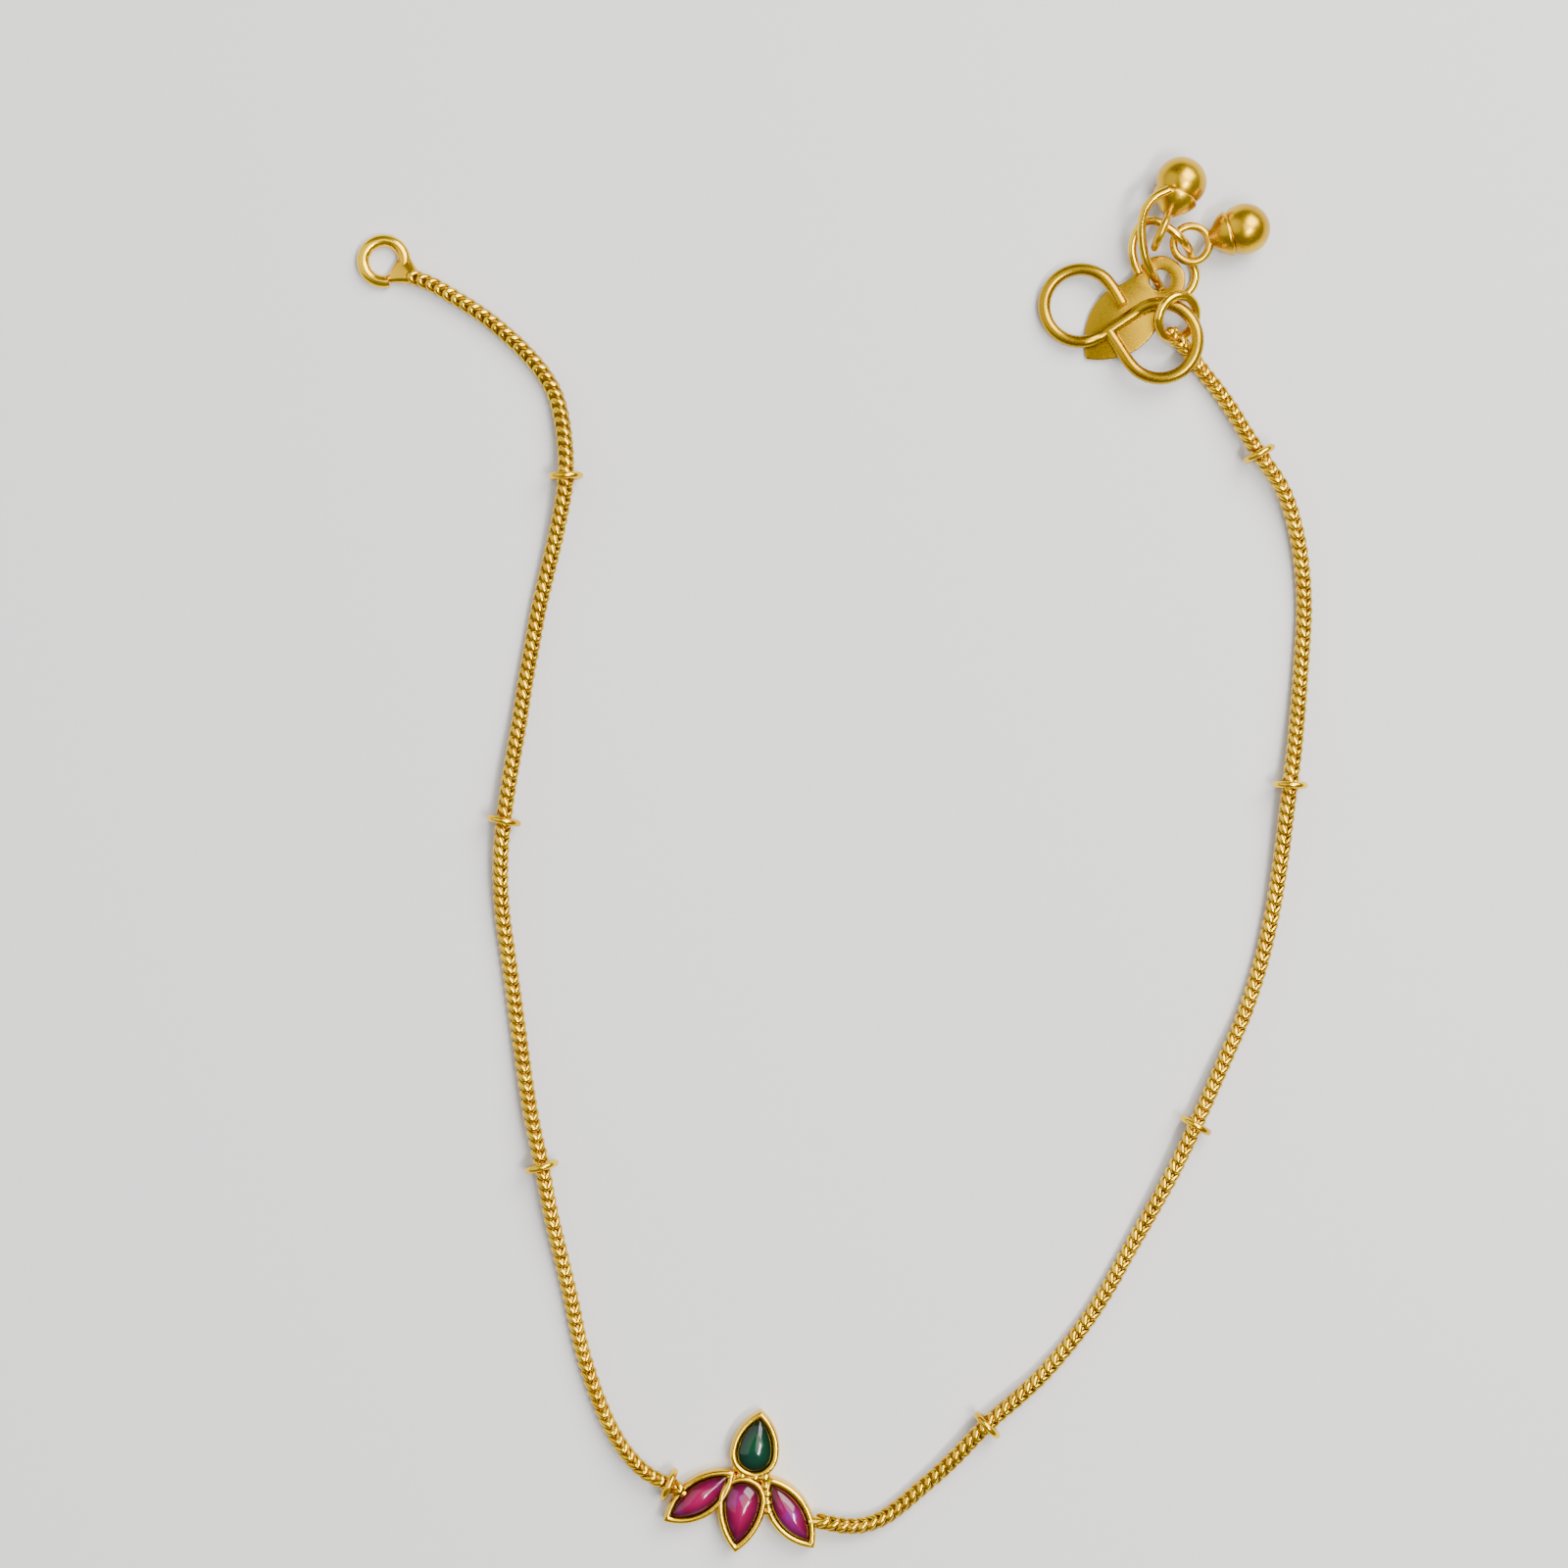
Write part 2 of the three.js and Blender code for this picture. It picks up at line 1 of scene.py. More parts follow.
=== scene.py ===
# %% [markdown]
# # A gold-plated anklet, lying open
# This lesson dresses a plain solid model of an anklet: a woven chain in two lengths, a flower of
# four set stones, eight small spacer rings, an end ring, and an S-hook with a leaf plate, a coil
# of wire and two round bells. The solid model gives every place and size, and each piece
# here takes the place of one of its nodes, with the roundings, weave and finish of the real thing.

# %% Load the solid model
import math

import bmesh
import bpy
from mathutils import Matrix, Vector


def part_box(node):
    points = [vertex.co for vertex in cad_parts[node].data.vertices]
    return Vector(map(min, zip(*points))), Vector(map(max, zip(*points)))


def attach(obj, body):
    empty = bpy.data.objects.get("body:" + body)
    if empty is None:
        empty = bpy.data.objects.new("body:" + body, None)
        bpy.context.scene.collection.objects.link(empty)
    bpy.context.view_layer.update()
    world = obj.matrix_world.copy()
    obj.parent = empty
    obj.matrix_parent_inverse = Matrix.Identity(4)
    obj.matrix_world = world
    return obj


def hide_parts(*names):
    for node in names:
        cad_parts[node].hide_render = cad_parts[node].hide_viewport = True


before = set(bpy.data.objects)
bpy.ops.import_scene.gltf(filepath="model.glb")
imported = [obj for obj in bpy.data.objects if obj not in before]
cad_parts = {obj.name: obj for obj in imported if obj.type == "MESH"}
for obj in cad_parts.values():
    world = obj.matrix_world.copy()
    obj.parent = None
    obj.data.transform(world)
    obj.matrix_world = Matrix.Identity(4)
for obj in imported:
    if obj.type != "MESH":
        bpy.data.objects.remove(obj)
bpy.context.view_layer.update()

# %% [markdown]
# ## The camera
# The anklet lies flat and is seen from straight above, so the camera looks down and needs no turn.
# A long lens from a little way up keeps the picture free of wide-angle stretch. The distance
# follows from the lens: the frame has to cover 136 mm of the surface.

# %% Camera
frame_width = 0.136
lens = 100.0
sensor = 36.0
view_middle = (-0.00436, 0.0062)
mean_height = 0.0015

camera = bpy.data.objects.new("camera", bpy.data.cameras.new("camera"))
camera.data.lens = lens
camera.data.sensor_width = sensor
camera.data.sensor_fit = "HORIZONTAL"
camera.location = (*view_middle, mean_height + frame_width * lens / sensor)
bpy.context.collection.objects.link(camera)
bpy.context.scene.camera = camera
print("camera height, mm:", round(1000 * camera.location.z, 1))

# %% [markdown]
# ## Working in millimetres
# Wires under a millimetre thick are easier to think about in millimetres, and merge distances
# behave better too. So each piece is modelled in millimetres in plan coordinates, and one
# matrix at the end brings it to metres in the frame of the solid model. The object itself then
# stays at the origin, unturned and unscaled, with its place in its mesh.

# %% From plan millimetres to the model's metres
plan_shift = Vector((0.235, 0.255, 0.0))
plan_to_frame = Matrix.Scale(0.001, 4) @ Matrix.Translation(plan_shift)


def finish_piece(name, bm, material, slot_name, *nodes, sharp=40):
    bmesh.ops.remove_doubles(bm, verts=bm.verts, dist=2e-4)
    bmesh.ops.recalc_face_normals(bm, faces=bm.faces)
    bmesh.ops.transform(bm, matrix=plan_to_frame, verts=bm.verts)
    mesh = bpy.data.meshes.new(name)
    bm.to_mesh(mesh)
    bm.free()
    mesh.shade_smooth()
    mesh.set_sharp_from_angle(angle=math.radians(sharp))
    mesh.materials.append(material)
    piece = bpy.data.objects.new(name, mesh)
    bpy.context.collection.objects.link(piece)
    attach(piece, "root")
    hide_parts(*nodes)
    print(name, "faces:", len(mesh.polygons))


# %% [markdown]
# ## Smooth paths
# Chain and wire follow a few given points. A Catmull-Rom curve of the centripetal kind
# passes through all of them without overshooting where they crowd together. It is then walked in
# even steps, and a frame of directions is carried along, so that nothing swept on it twists.

# %% Walk a smooth curve
def through(points, spacing):
    knots = [Vector(p) for p in points]
    knots = [2 * knots[0] - knots[1], *knots, 2 * knots[-1] - knots[-2]]
    fine = []
    for a, b, c, d in zip(knots, knots[1:], knots[2:], knots[3:]):
        before, here, after = ((q - p).length ** 0.5 for p, q in ((a, b), (b, c), (c, d)))
        leave = here * ((b - a) / before - (c - a) / (before + here) + (c - b) / here)
        arrive = here * ((c - b) / here - (d - b) / (here + after) + (d - c) / after)
        for i in range(20):
            t = i / 20
            fine.append(
                b * (2 * t**3 - 3 * t**2 + 1) + leave * (t**3 - 2 * t**2 + t)
                + c * (3 * t**2 - 2 * t**3) + arrive * (t**3 - t**2)
            )
    fine.append(knots[-2])
    lengths = [(q - p).length for p, q in zip(fine, fine[1:])]
    count = max(2, round(sum(lengths) / spacing))
    step = sum(lengths) / count
    walk, gone, i = [fine[0]], 0.0, 0
    for k in range(1, count):
        while gone + lengths[i] < k * step:
            gone += lengths[i]
            i += 1
        walk.append(fine[i].lerp(fine[i + 1], (k * step - gone) / lengths[i]))
    return [*walk, fine[-1]]


def frames_along(path, turns=None, up=(0, 0, 1)):
    frames, up, last = [], Vector(up), len(path) - 1
    for i, point in enumerate(path):
        ahead = (path[min(i + 1, last)] - path[max(i - 1, 0)]).normalized()
        up = (up - up.project(ahead)).normalized()
        basis = Matrix((up.cross(ahead), up, ahead)).transposed().to_4x4()
        turned = Matrix.Rotation(math.radians(turns[i]), 4, "Z") if turns else Matrix.Identity(4)
        frames.append(Matrix.Translation(point) @ basis @ turned)
    return frames


# %% [markdown]
# ## Sweeping a round wire
# A wire is a circle that is extruded from station to station. Each step extrudes the rim alone and
# moves it on with one matrix, which can also shrink or widen it, so the same few lines make a
# plain wire, a cut end and a flattened web of solder. A cut wire shrinks a little just before each
# end, which softens the cut. A ring is simpler: its circle is spun round an axis. The edges of a
# rim are listed in a fixed order, so that every run makes the vertices in the same order.

# %% Sweep and ring helpers
def edges_of(verts):
    return list(dict.fromkeys(e for v in verts for e in v.link_edges))


def sweep(bm, frames, radii, sides=12, capped=True):
    ovals = [r if isinstance(r, tuple) else (r, r) for r in radii]
    places = [f @ Matrix.Diagonal((wide, high, 1, 1)) for f, (wide, high) in zip(frames, ovals)]
    rim = bmesh.ops.create_circle(bm, segments=sides, radius=1.0, matrix=places[0])["verts"]
    edges = edges_of(rim)
    if capped:
        bmesh.ops.contextual_create(bm, geom=edges)
    for before, after in zip(places, places[1:]):
        out = bmesh.ops.extrude_edge_only(bm, edges=edges)["geom"]
        rim = [g for g in out if isinstance(g, bmesh.types.BMVert)]
        fresh = set(rim)
        edges = [g for g in out if isinstance(g, bmesh.types.BMEdge) and set(g.verts) <= fresh]
        bmesh.ops.transform(bm, matrix=after @ before.inverted(), verts=rim)
    if capped:
        bmesh.ops.contextual_create(bm, geom=edges)


def wire(bm, path, radius, sides=12, end_step=0.12, end_shrink=0.86):
    first, *inner, last = frames_along(path)
    ahead = Matrix.Translation(end_step * radius * first.col[2].xyz) @ first
    back = Matrix.Translation(-end_step * radius * last.col[2].xyz) @ last
    full = [radius] * (len(inner) + 2)
    radii = [end_shrink * radius, *full, end_shrink * radius]
    sweep(bm, [first, ahead, *inner, back, last], radii, sides)


def ring(bm, mean_radius, radius, place, around=40, sides=12, start=0.0, sweep_angle=360.0):
    section = (
        Matrix.Rotation(math.radians(start), 4, "Z") @ Matrix.Translation((mean_radius, 0, 0))
        @ Matrix.Rotation(math.pi / 2, 4, "X")
    )
    rim = bmesh.ops.create_circle(bm, segments=sides, radius=radius, matrix=section)["verts"]
    edges = edges_of(rim)
    whole = sweep_angle == 360.0
    before = set(bm.verts) - set(rim)
    if not whole:
        bmesh.ops.contextual_create(bm, geom=edges)
    end = bmesh.ops.spin(
        bm, geom=[*rim, *edges], cent=(0, 0, 0), axis=(0, 0, 1), angle=math.radians(sweep_angle),
        steps=around, use_merge=whole,
    )
    if not whole:
        last = [g for g in end["geom_last"] if isinstance(g, bmesh.types.BMEdge)]
        bmesh.ops.contextual_create(bm, geom=last)
    bmesh.ops.transform(bm, matrix=place, verts=[v for v in bm.verts if v not in before])


# %% [markdown]
# ## The gold
# Gold plate is a metal with a warm, saturated colour. What tells a small worn piece from a flat
# computer colour is variation: cloudy patches a little deeper and rougher, fine pits, and, on the
# chain, painted shade in the crevices. Several finishes need the same clouds and pits, so they live
# in one node group with named inputs. It reads Object coordinates, so the pattern stays put on
# every piece. The gold of the hook, leaf and bells is a rougher copy whose colour is painted
# darker, as shade.

# %% A group of clouds and pits, shared by all the metal
def add_node(tree, kind, place=(0, 0), **settings):
    made = tree.nodes.new(kind)
    made.location = place
    for key, value in settings.items():
        setattr(made, key, value)
    return made


def metal_surface_group():
    group = bpy.data.node_groups.new("worn_metal", "ShaderNodeTree")
    for name, kind, value in (
        ("Deep", "NodeSocketColor", (0.4, 0.2, 0.02, 1)),
        ("Bright", "NodeSocketColor", (0.8, 0.5, 0.1, 1)),
        ("Cloud Scale", "NodeSocketFloat", 600.0),
        ("Pit Scale", "NodeSocketFloat", 5000.0),
        ("Smooth", "NodeSocketFloat", 0.2),
        ("Rough", "NodeSocketFloat", 0.4),
    ):
        group.interface.new_socket(name, in_out="INPUT", socket_type=kind).default_value = value
    group.interface.new_socket("Color", in_out="OUTPUT", socket_type="NodeSocketColor")
    group.interface.new_socket("Roughness", in_out="OUTPUT", socket_type="NodeSocketFloat")
    group.interface.new_socket("Height", in_out="OUTPUT", socket_type="NodeSocketFloat")
    link = group.links.new
    entry = add_node(group, "NodeGroupInput", (-800, 0))
    leave = add_node(group, "NodeGroupOutput", (400, 0))
    spot = add_node(group, "ShaderNodeTexCoord", (-800, 300))
    clouds = add_node(group, "ShaderNodeTexNoise", (-500, 200))
    clouds.inputs["Detail"].default_value = 2.0
    pits = add_node(group, "ShaderNodeTexNoise", (-500, -100))
    pits.inputs["Detail"].default_value = 2.0
    link(spot.outputs["Object"], clouds.inputs["Vector"])
    link(spot.outputs["Object"], pits.inputs["Vector"])
    link(entry.outputs["Cloud Scale"], clouds.inputs["Scale"])
    link(entry.outputs["Pit Scale"], pits.inputs["Scale"])
    patch = add_node(group, "ShaderNodeMapRange", (-250, 200))
    patch.inputs["From Min"].default_value = 0.35
    patch.inputs["From Max"].default_value = 0.65
    link(clouds.outputs["Fac"], patch.inputs["Value"])
    colour = add_node(group, "ShaderNodeMix", (0, 250), data_type="RGBA")
    link(patch.outputs["Result"], colour.inputs["Factor"])
    link(entry.outputs["Deep"], colour.inputs["A"])
    link(entry.outputs["Bright"], colour.inputs["B"])
    grain = add_node(group, "ShaderNodeMapRange", (0, -50))
    grain.inputs["From Min"].default_value = 0.3
    grain.inputs["From Max"].default_value = 0.7
    link(pits.outputs["Fac"], grain.inputs["Value"])
    link(entry.outputs["Smooth"], grain.inputs["To Min"])
    link(entry.outputs["Rough"], grain.inputs["To Max"])
    link(colour.outputs["Result"], leave.inputs["Color"])
    link(grain.outputs["Result"], leave.inputs["Roughness"])
    link(pits.outputs["Fac"], leave.inputs["Height"])
    return group


worn_metal = metal_surface_group()


def gold_material(name, deep, bright, smooth, rough, bump=0.00001, clouds=500.0, pits=5000.0):
    material = bpy.data.materials.new(name)
    material.use_nodes = True
    tree = material.node_tree
    shader = tree.nodes["Principled BSDF"]
    shader.inputs["Metallic"].default_value = 1.0
    surface = add_node(tree, "ShaderNodeGroup", (-500, 200), node_tree=worn_metal)
    surface.inputs["Deep"].default_value = (*deep, 1)
    surface.inputs["Bright"].default_value = (*bright, 1)
    surface.inputs["Cloud Scale"].default_value = clouds
    surface.inputs["Pit Scale"].default_value = pits
    surface.inputs["Smooth"].default_value = smooth
    surface.inputs["Rough"].default_value = rough
    relief = add_node(tree, "ShaderNodeBump", (-250, -100))
    relief.inputs["Strength"].default_value = 0.35
    relief.inputs["Distance"].default_value = bump
    tree.links.new(surface.outputs["Color"], shader.inputs["Base Color"])
    tree.links.new(surface.outputs["Roughness"], shader.inputs["Roughness"])
    tree.links.new(surface.outputs["Height"], relief.inputs["Height"])
    tree.links.new(relief.outputs["Normal"], shader.inputs["Normal"])
    return material, tree, shader, surface


polished_gold, *_ = gold_material(
    "polished_gold", (0.7, 0.39, 0.007), (0.92, 0.6, 0.018), 0.16, 0.25, clouds=250.0)
# a rougher copy of the gold for the hook and leaf; its darker colour is painted shade
satin_shaded_gold, *_ = gold_material(
    "satin_shaded_gold", (0.38, 0.21, 0.003), (0.5, 0.3, 0.006), 0.25, 0.3, bump=0.000003, clouds=130.0)
# a rougher copy of the gold for the bells; its darker colour is painted shade
bell_shaded_gold, *_ = gold_material(
    "bell_shaded_gold", (0.52, 0.3, 0.004), (0.72, 0.45, 0.01), 0.27, 0.34, bump=0.000004, clouds=300.0)
print("metal materials:", polished_gold.name, satin_shaded_gold.name, bell_shaded_gold.name)

# %% [markdown]
# The woven chain needs one thing more. Light can't get between its wires, so the gold is painted
# darker brown towards the middle of the chain, as painted shade. How far each point stands out is
# known while the chain is made, so it is written on the mesh as an attribute, "proud", and read
# back here: where it is 1 the gold stays, where it is 0 the painted shade colour takes over.

# %% Gold for the woven chain
woven_gold, tree, shader, surface = gold_material(
    "woven_gold", (0.74, 0.42, 0.007), (0.94, 0.61, 0.018), 0.18, 0.27)
proud = add_node(tree, "ShaderNodeAttribute", (-750, 450), attribute_name="proud")
painted_crevice_shade = add_node(tree, "ShaderNodeMix", (-200, 400), data_type="RGBA")
# painted shade: the dark brown that stands for the shade between the wires
painted_crevice_shade.inputs["A"].default_value = (0.2, 0.095, 0.003, 1)
tree.links.new(proud.outputs["Fac"], painted_crevice_shade.inputs["Factor"])
tree.links.new(surface.outputs["Color"], painted_crevice_shade.inputs["B"])
tree.links.new(painted_crevice_shade.outputs["Result"], shader.inputs["Base Color"])
print("chain material:", woven_gold.name)

# %% [markdown]
# ## The stones
# The stones are glass cabochons: smooth domes, clear enough for colour to gather in them. Real
# transparency over a metal cup would turn them nearly black at this size, so the colour sits in
# the body, with a clear coat on top for the highlights, and the light and shade of the glass are
# painted into that colour: painted shade at the rim, where the setting shades them, and a painted
# glow in the middle. An attribute, "heart", is 1 over the middle of a stone and 0 at its rim. It
# brightens the middle with the painted glow and keeps the cloudy flaws out of the rim.

# %% A material for each colour of stone
def stone_material(name, shaded_rim_colour, lit_heart_colour, flaw_colour):
    material = bpy.data.materials.new(name)
    material.use_nodes = True
    tree = material.node_tree
    shader = tree.nodes["Principled BSDF"]
    heart = add_node(tree, "ShaderNodeAttribute", (-900, 300), attribute_name="heart")
    spot = add_node(tree, "ShaderNodeTexCoord", (-900, 0))
    flaws = add_node(tree, "ShaderNodeTexNoise", (-700, 0))
    flaws.inputs["Scale"].default_value = 480.0
    flaws.inputs["Detail"].default_value = 3.0
    flaws.inputs["Distortion"].default_value = 0.6
    tree.links.new(spot.outputs["Object"], flaws.inputs["Vector"])
    body = add_node(tree, "ShaderNodeMix", (-450, 250), data_type="RGBA")
    body.inputs["A"].default_value = (*shaded_rim_colour, 1)
    body.inputs["B"].default_value = (*lit_heart_colour, 1)
    tree.links.new(heart.outputs["Fac"], body.inputs["Factor"])
    mask = add_node(tree, "ShaderNodeMapRange", (-450, 0))
    mask.inputs["From Min"].default_value = 0.46
    mask.inputs["From Max"].default_value = 0.64
    mask.inputs["To Max"].default_value = 0.9
    tree.links.new(flaws.outputs["Fac"], mask.inputs["Value"])
    clouded = add_node(tree, "ShaderNodeMix", (-200, 200), data_type="RGBA")
    clouded.inputs["B"].default_value = (*flaw_colour, 1)
    inner = add_node(tree, "ShaderNodeMath", (-320, 0), operation="MULTIPLY")
    tree.links.new(mask.outputs["Result"], inner.inputs[0])
    tree.links.new(heart.outputs["Fac"], inner.inputs[1])
    tree.links.new(inner.outputs["Value"], clouded.inputs["Factor"])
    tree.links.new(body.outputs["Result"], clouded.inputs["A"])
    tree.links.new(clouded.outputs["Result"], shader.inputs["Base Color"])
    shader.inputs["Roughness"].default_value = 0.12
    shader.inputs["Specular IOR Level"].default_value = 0.25
    shader.inputs["Coat Weight"].default_value = 0.45
    shader.inputs["Coat Roughness"].default_value = 0.08
    return material


# each stone: painted rim shade, painted middle glow, then the colour of its flaws
pink_stone = stone_material(
    "pink_stone", (0.025, 0.0, 0.002), (0.24, 0.0, 0.055), (0.14, 0.008, 0.15))
green_stone = stone_material(
    "green_stone", (0.0002, 0.004, 0.002), (0.001, 0.045, 0.014), (0.001, 0.014, 0.016))
print("stone materials:", pink_stone.name, green_stone.name)

# %% [markdown]
# ## The woven chain
# This chain looks like rope, but each row of it is one closed wire loop bent into a crown of
# two V shapes, and every crown is nested in the one before. Seen on a leg of the Vs the chain
# shows slanted bars, and seen on their points it shows two columns of dots. So one crown is made
# once, by sweeping a small oval along the zigzag, and then copied along the path. The wire lies a
# little farther out on the legs of the Vs than on their points. A crown has only 144 faces,
# because there are about 270 of them.

# %% One crown of the weave
chain_radius = 0.75
crown_wire = (0.31, 0.24)
crown_pitch = 0.86
crown_reach = 0.4
crown_points = 24
point_distance = 0.46
leg_swell = 0.05
bend_sharpness = 0.9


def crown_mesh():
    bm = bmesh.new()

    def bend(angle):
        slant = math.cos(2 * angle)
        along = crown_reach * math.asin(bend_sharpness * slant) / math.asin(bend_sharpness)
        out = point_distance + leg_swell * abs(math.sin(2 * angle)) ** 0.8
        return Vector((out * math.cos(angle), out * math.sin(angle), along))

    frames = []
    for i in range(crown_points + 1):
        angle = 2 * math.pi * (i % crown_points) / crown_points
        ahead = (bend(angle + 0.06) - bend(angle - 0.06)).normalized()
        up = Vector((math.cos(angle), math.sin(angle), 0))
        up = (up - up.project(ahead)).normalized()
        basis = Matrix((up.cross(ahead), up, ahead)).transposed().to_4x4()
        frames.append(Matrix.Translation(bend(angle)) @ basis)
    sweep(bm, frames, [crown_wire] * len(frames), sides=6, capped=False)
    bmesh.ops.remove_doubles(bm, verts=bm.verts, dist=1e-4)
    bmesh.ops.recalc_face_normals(bm, faces=bm.faces)
    mesh = bpy.data.meshes.new("crown")
    bm.to_mesh(mesh)
    bm.free()
    return mesh


crown = crown_mesh()
print("faces in one crown:", len(crown.polygons))

# %% [markdown]
# The two routes repeat the points of the solid model. The third number is how much of its full
# lift the chain has there: a spacer ring is wider than the chain, so it carries it up by 0.8 mm.

# %% The routes of the two lengths
chain_lift = 0.8
routes = {
    "left": [
        (-36.85, 50.0, 0), (-35.3, 49.4, 0), (-33.5, 48.4, 0), (-30.8, 46.7, 0),
        (-28.8, 45.1, 0), (-27.0, 43.4, 0), (-25.5, 41.6, 0.05), (-24.4, 39.6, 0.2),
        (-23.7, 36.5, 0.65), (-23.5, 32.7, 1), (-24.2, 28.4, 0.6), (-25.1, 24.6, 0.15),
        (-25.9, 21.2, 0), (-26.5, 17.9, 0), (-27.1, 14.5, 0.1), (-27.6, 11.1, 0.4),
        (-28.2, 7.6, 0.8), (-28.9, 2.8, 1), (-29.2, -0.9, 0.7), (-29.1, -4.9, 0.2),
        (-28.5, -9.4, 0), (-27.7, -15.2, 0.1), (-27.1, -19.4, 0.4), (-26.5, -23.0, 0.8),
        (-25.6, -27.2, 1), (-24.8, -31.5, 0.65), (-24.0, -35.0, 0.2), (-23.2, -38.4, 0),
        (-22.2, -43.0, 0), (-21.0, -46.8, 0.15), (-19.6, -50.0, 0.4), (-18.1, -52.3, 0.7),
        (-16.4, -53.9, 0.9), (-14.6, -54.8, 1), (-14.15, -55.0, 1),
    ],
    "right": [
        (-0.9, -58.1, 1), (0.5, -58.4, 0.9), (2.2, -58.4, 0.6), (4.0, -57.8, 0.3),
        (5.7, -56.6, 0.15), (7.3, -55.2, 0.25), (9.0, -53.7, 0.5), (10.7, -52.0, 0.8),
        (13.0, -49.6, 1), (15.7, -47.3, 0.75), (17.6, -45.6, 0.4), (19.6, -43.4, 0.1),
        (21.5, -41.0, 0), (23.4, -38.1, 0), (25.2, -34.9, 0), (27.1, -31.5, 0.3),
        (29.0, -28.0, 0.75), (31.1, -23.6, 1), (33.6, -18.1, 0.6), (35.2, -14.5, 0.2),
        (36.4, -11.1, 0), (37.3, -7.7, 0.05), (38.0, -4.2, 0.3), (38.5, -0.8, 0.65),
        (38.9, 2.6, 0.9), (39.3, 5.9, 1), (39.7, 9.0, 0.75), (40.1, 13.0, 0.3),
        (40.4, 17.0, 0), (40.6, 21.2, 0), (40.4, 24.8, 0.1), (39.8, 28.2, 0.4),
        (38.7, 31.4, 0.8), (36.6, 34.6, 1), (35.4, 36.5, 0.8), (34.4, 38.2, 0.5),
        (33.2, 40.0, 0.15), (32.1, 41.4, 0), (31.1, 42.7, 0), (30.3, 43.75, 0.5),
    ],
}


def route_path(side, spacing):
    points = [(x, y, chain_radius + share * chain_lift) for x, y, share in routes[side]]
    return through(points, spacing)


# %% [markdown]
# Such a chain never lies quite untwisted. Each twist is a few pairs: how far along the chain, from
# 0 to 1, and by how many degrees the crowns are turned there. Between them the turn is blended.
# The tails are the places of the first crown and of the last ones. On the right they bend round
# the wire of the clasp ring. All crowns are lifted a hair, so that none of them dips into the floor
# where the chain starts to climb towards a spacer ring. A core fills the middle of the chain,
# painted all in the dark shade colour.

# %% Weave a length of chain
weave_lift = 0.035
crevice_distance = 0.58
crevice_blend = 0.12
core_radius = 0.61
twists = {
    "left": [
        (0, 0), (0.12, 22), (0.22, 42), (0.36, 45), (0.47, 52), (0.55, 60), (0.63, 62),
        (0.73, 68), (1, 80),
    ],
    "right": [
        (0, 50), (0.09, 45), (0.17, 15), (0.33, 0), (0.46, 0), (0.52, 5), (0.64, 20), (0.8, 15),
        (0.9, 8), (1, 0),
    ],
}
tails = {
    "left": [(-36.78, 49.97, 0.75), (-13.88, -55.12, 1.55)],
    "right": [(-1.2, -58.04, 1.55), (29.9, 44.15, 1.25), (29.4, 44.5, 1.4), (28.95, 44.75, 1.5)],
}


def turn_at(twist, share):
    for (a, low), (b, high) in zip(twist, twist[1:]):
        if share <= b:
            return low + (high - low) * (share - a) / (b - a)
    return twist[-1][1]


def weave(side):
    bm = bmesh.new()
    proud_layer = bm.verts.layers.float.new("proud")
    before, *after = tails[side]
    path = through([before, *route_path(side, 0.1)[5:-5:4], *after], crown_pitch)
    path = [spot + Vector((0, 0, weave_lift)) for spot in path]
    # painted shade on each crown: 0 near the chain's axis, 1 from a little way out
    standing = [
        min(1.0, max(0.0, (v.co.xy.length - crevice_distance) / crevice_blend))
        for v in crown.vertices
    ]
    turns = [turn_at(twists[side], i / (len(path) - 1)) for i in range(len(path))]
    for place in frames_along(path, turns):
        known = len(bm.verts)
        bm.from_mesh(crown)
        bm.verts.ensure_lookup_table()
        fresh = bm.verts[known:]
        for vert, share in zip(fresh, standing):
            vert[proud_layer] = share
        bmesh.ops.transform(bm, matrix=place, verts=fresh)
    # the core gets none of the attribute, so it is painted wholly in the dark shade colour
    core = frames_along(route_path(side, 1.2))
    sweep(bm, core, [core_radius] * len(core), sides=16)
    finish_piece(f"woven_chain_{side}", bm, woven_gold, "woven_gold", f"chain_{side}", sharp=180)


weave("left")
weave("right")
bpy.data.meshes.remove(crown)

# %% [markdown]
# ## Spacer rings
# Each of the eight small rings is a plain closed ring of wire, threaded on the chain. A circle
# is spun into the ring, and the ring is set square to the chain and leaned a few degrees, as
# loose rings always are. Its place is the middle of the solid ring's box.

# %% The eight spacer rings
spacer_bore = 1.86
spacer_wire = 0.62
spacer_sides = ["left"] * 4 + ["right"] * 4
spacer_leans = [5, -5, 5, 0, 0, -5, 5, -5]


def node_middle(node):
    low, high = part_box(node)
    return (Vector(low) + Vector(high)) * 500 - plan_shift


for number, (side, lean) in enumerate(zip(spacer_sides, spacer_leans), 1):
    middle = node_middle(f"spacer_ring_{number}")
    walk = route_path(side, 0.25)
    near = min(range(1, len(walk) - 1), key=lambda i: (walk[i] - middle).length)
    ahead = (walk[near + 1] - walk[near - 1]) * Vector((1, 1, 0))
    heading = math.atan2(ahead.y, ahead.x) + math.radians(lean)
    bm = bmesh.new()
    place = (
        Matrix.Translation(middle) @ Matrix.Rotation(heading, 4, "Z")
        @ Matrix.Rotation(math.pi / 2, 4, "Y")
    )
    ring(bm, (spacer_bore + spacer_wire) / 2, spacer_wire / 2, place, around=28, sides=10)
    finish_piece(f"round_spacer_{number}", bm, polished_gold, "gold", f"spacer_ring_{number}")

# %% [markdown]
# ## The end ring
# The free end is closed by a ring of thick wire that isn't bent quite full circle. A flat web of
# solder fills the missing part and holds the chain. The ring is a circle that is spun most of
# the way round, and the web is a short sweep whose circle widens and flattens as it nears the ring.

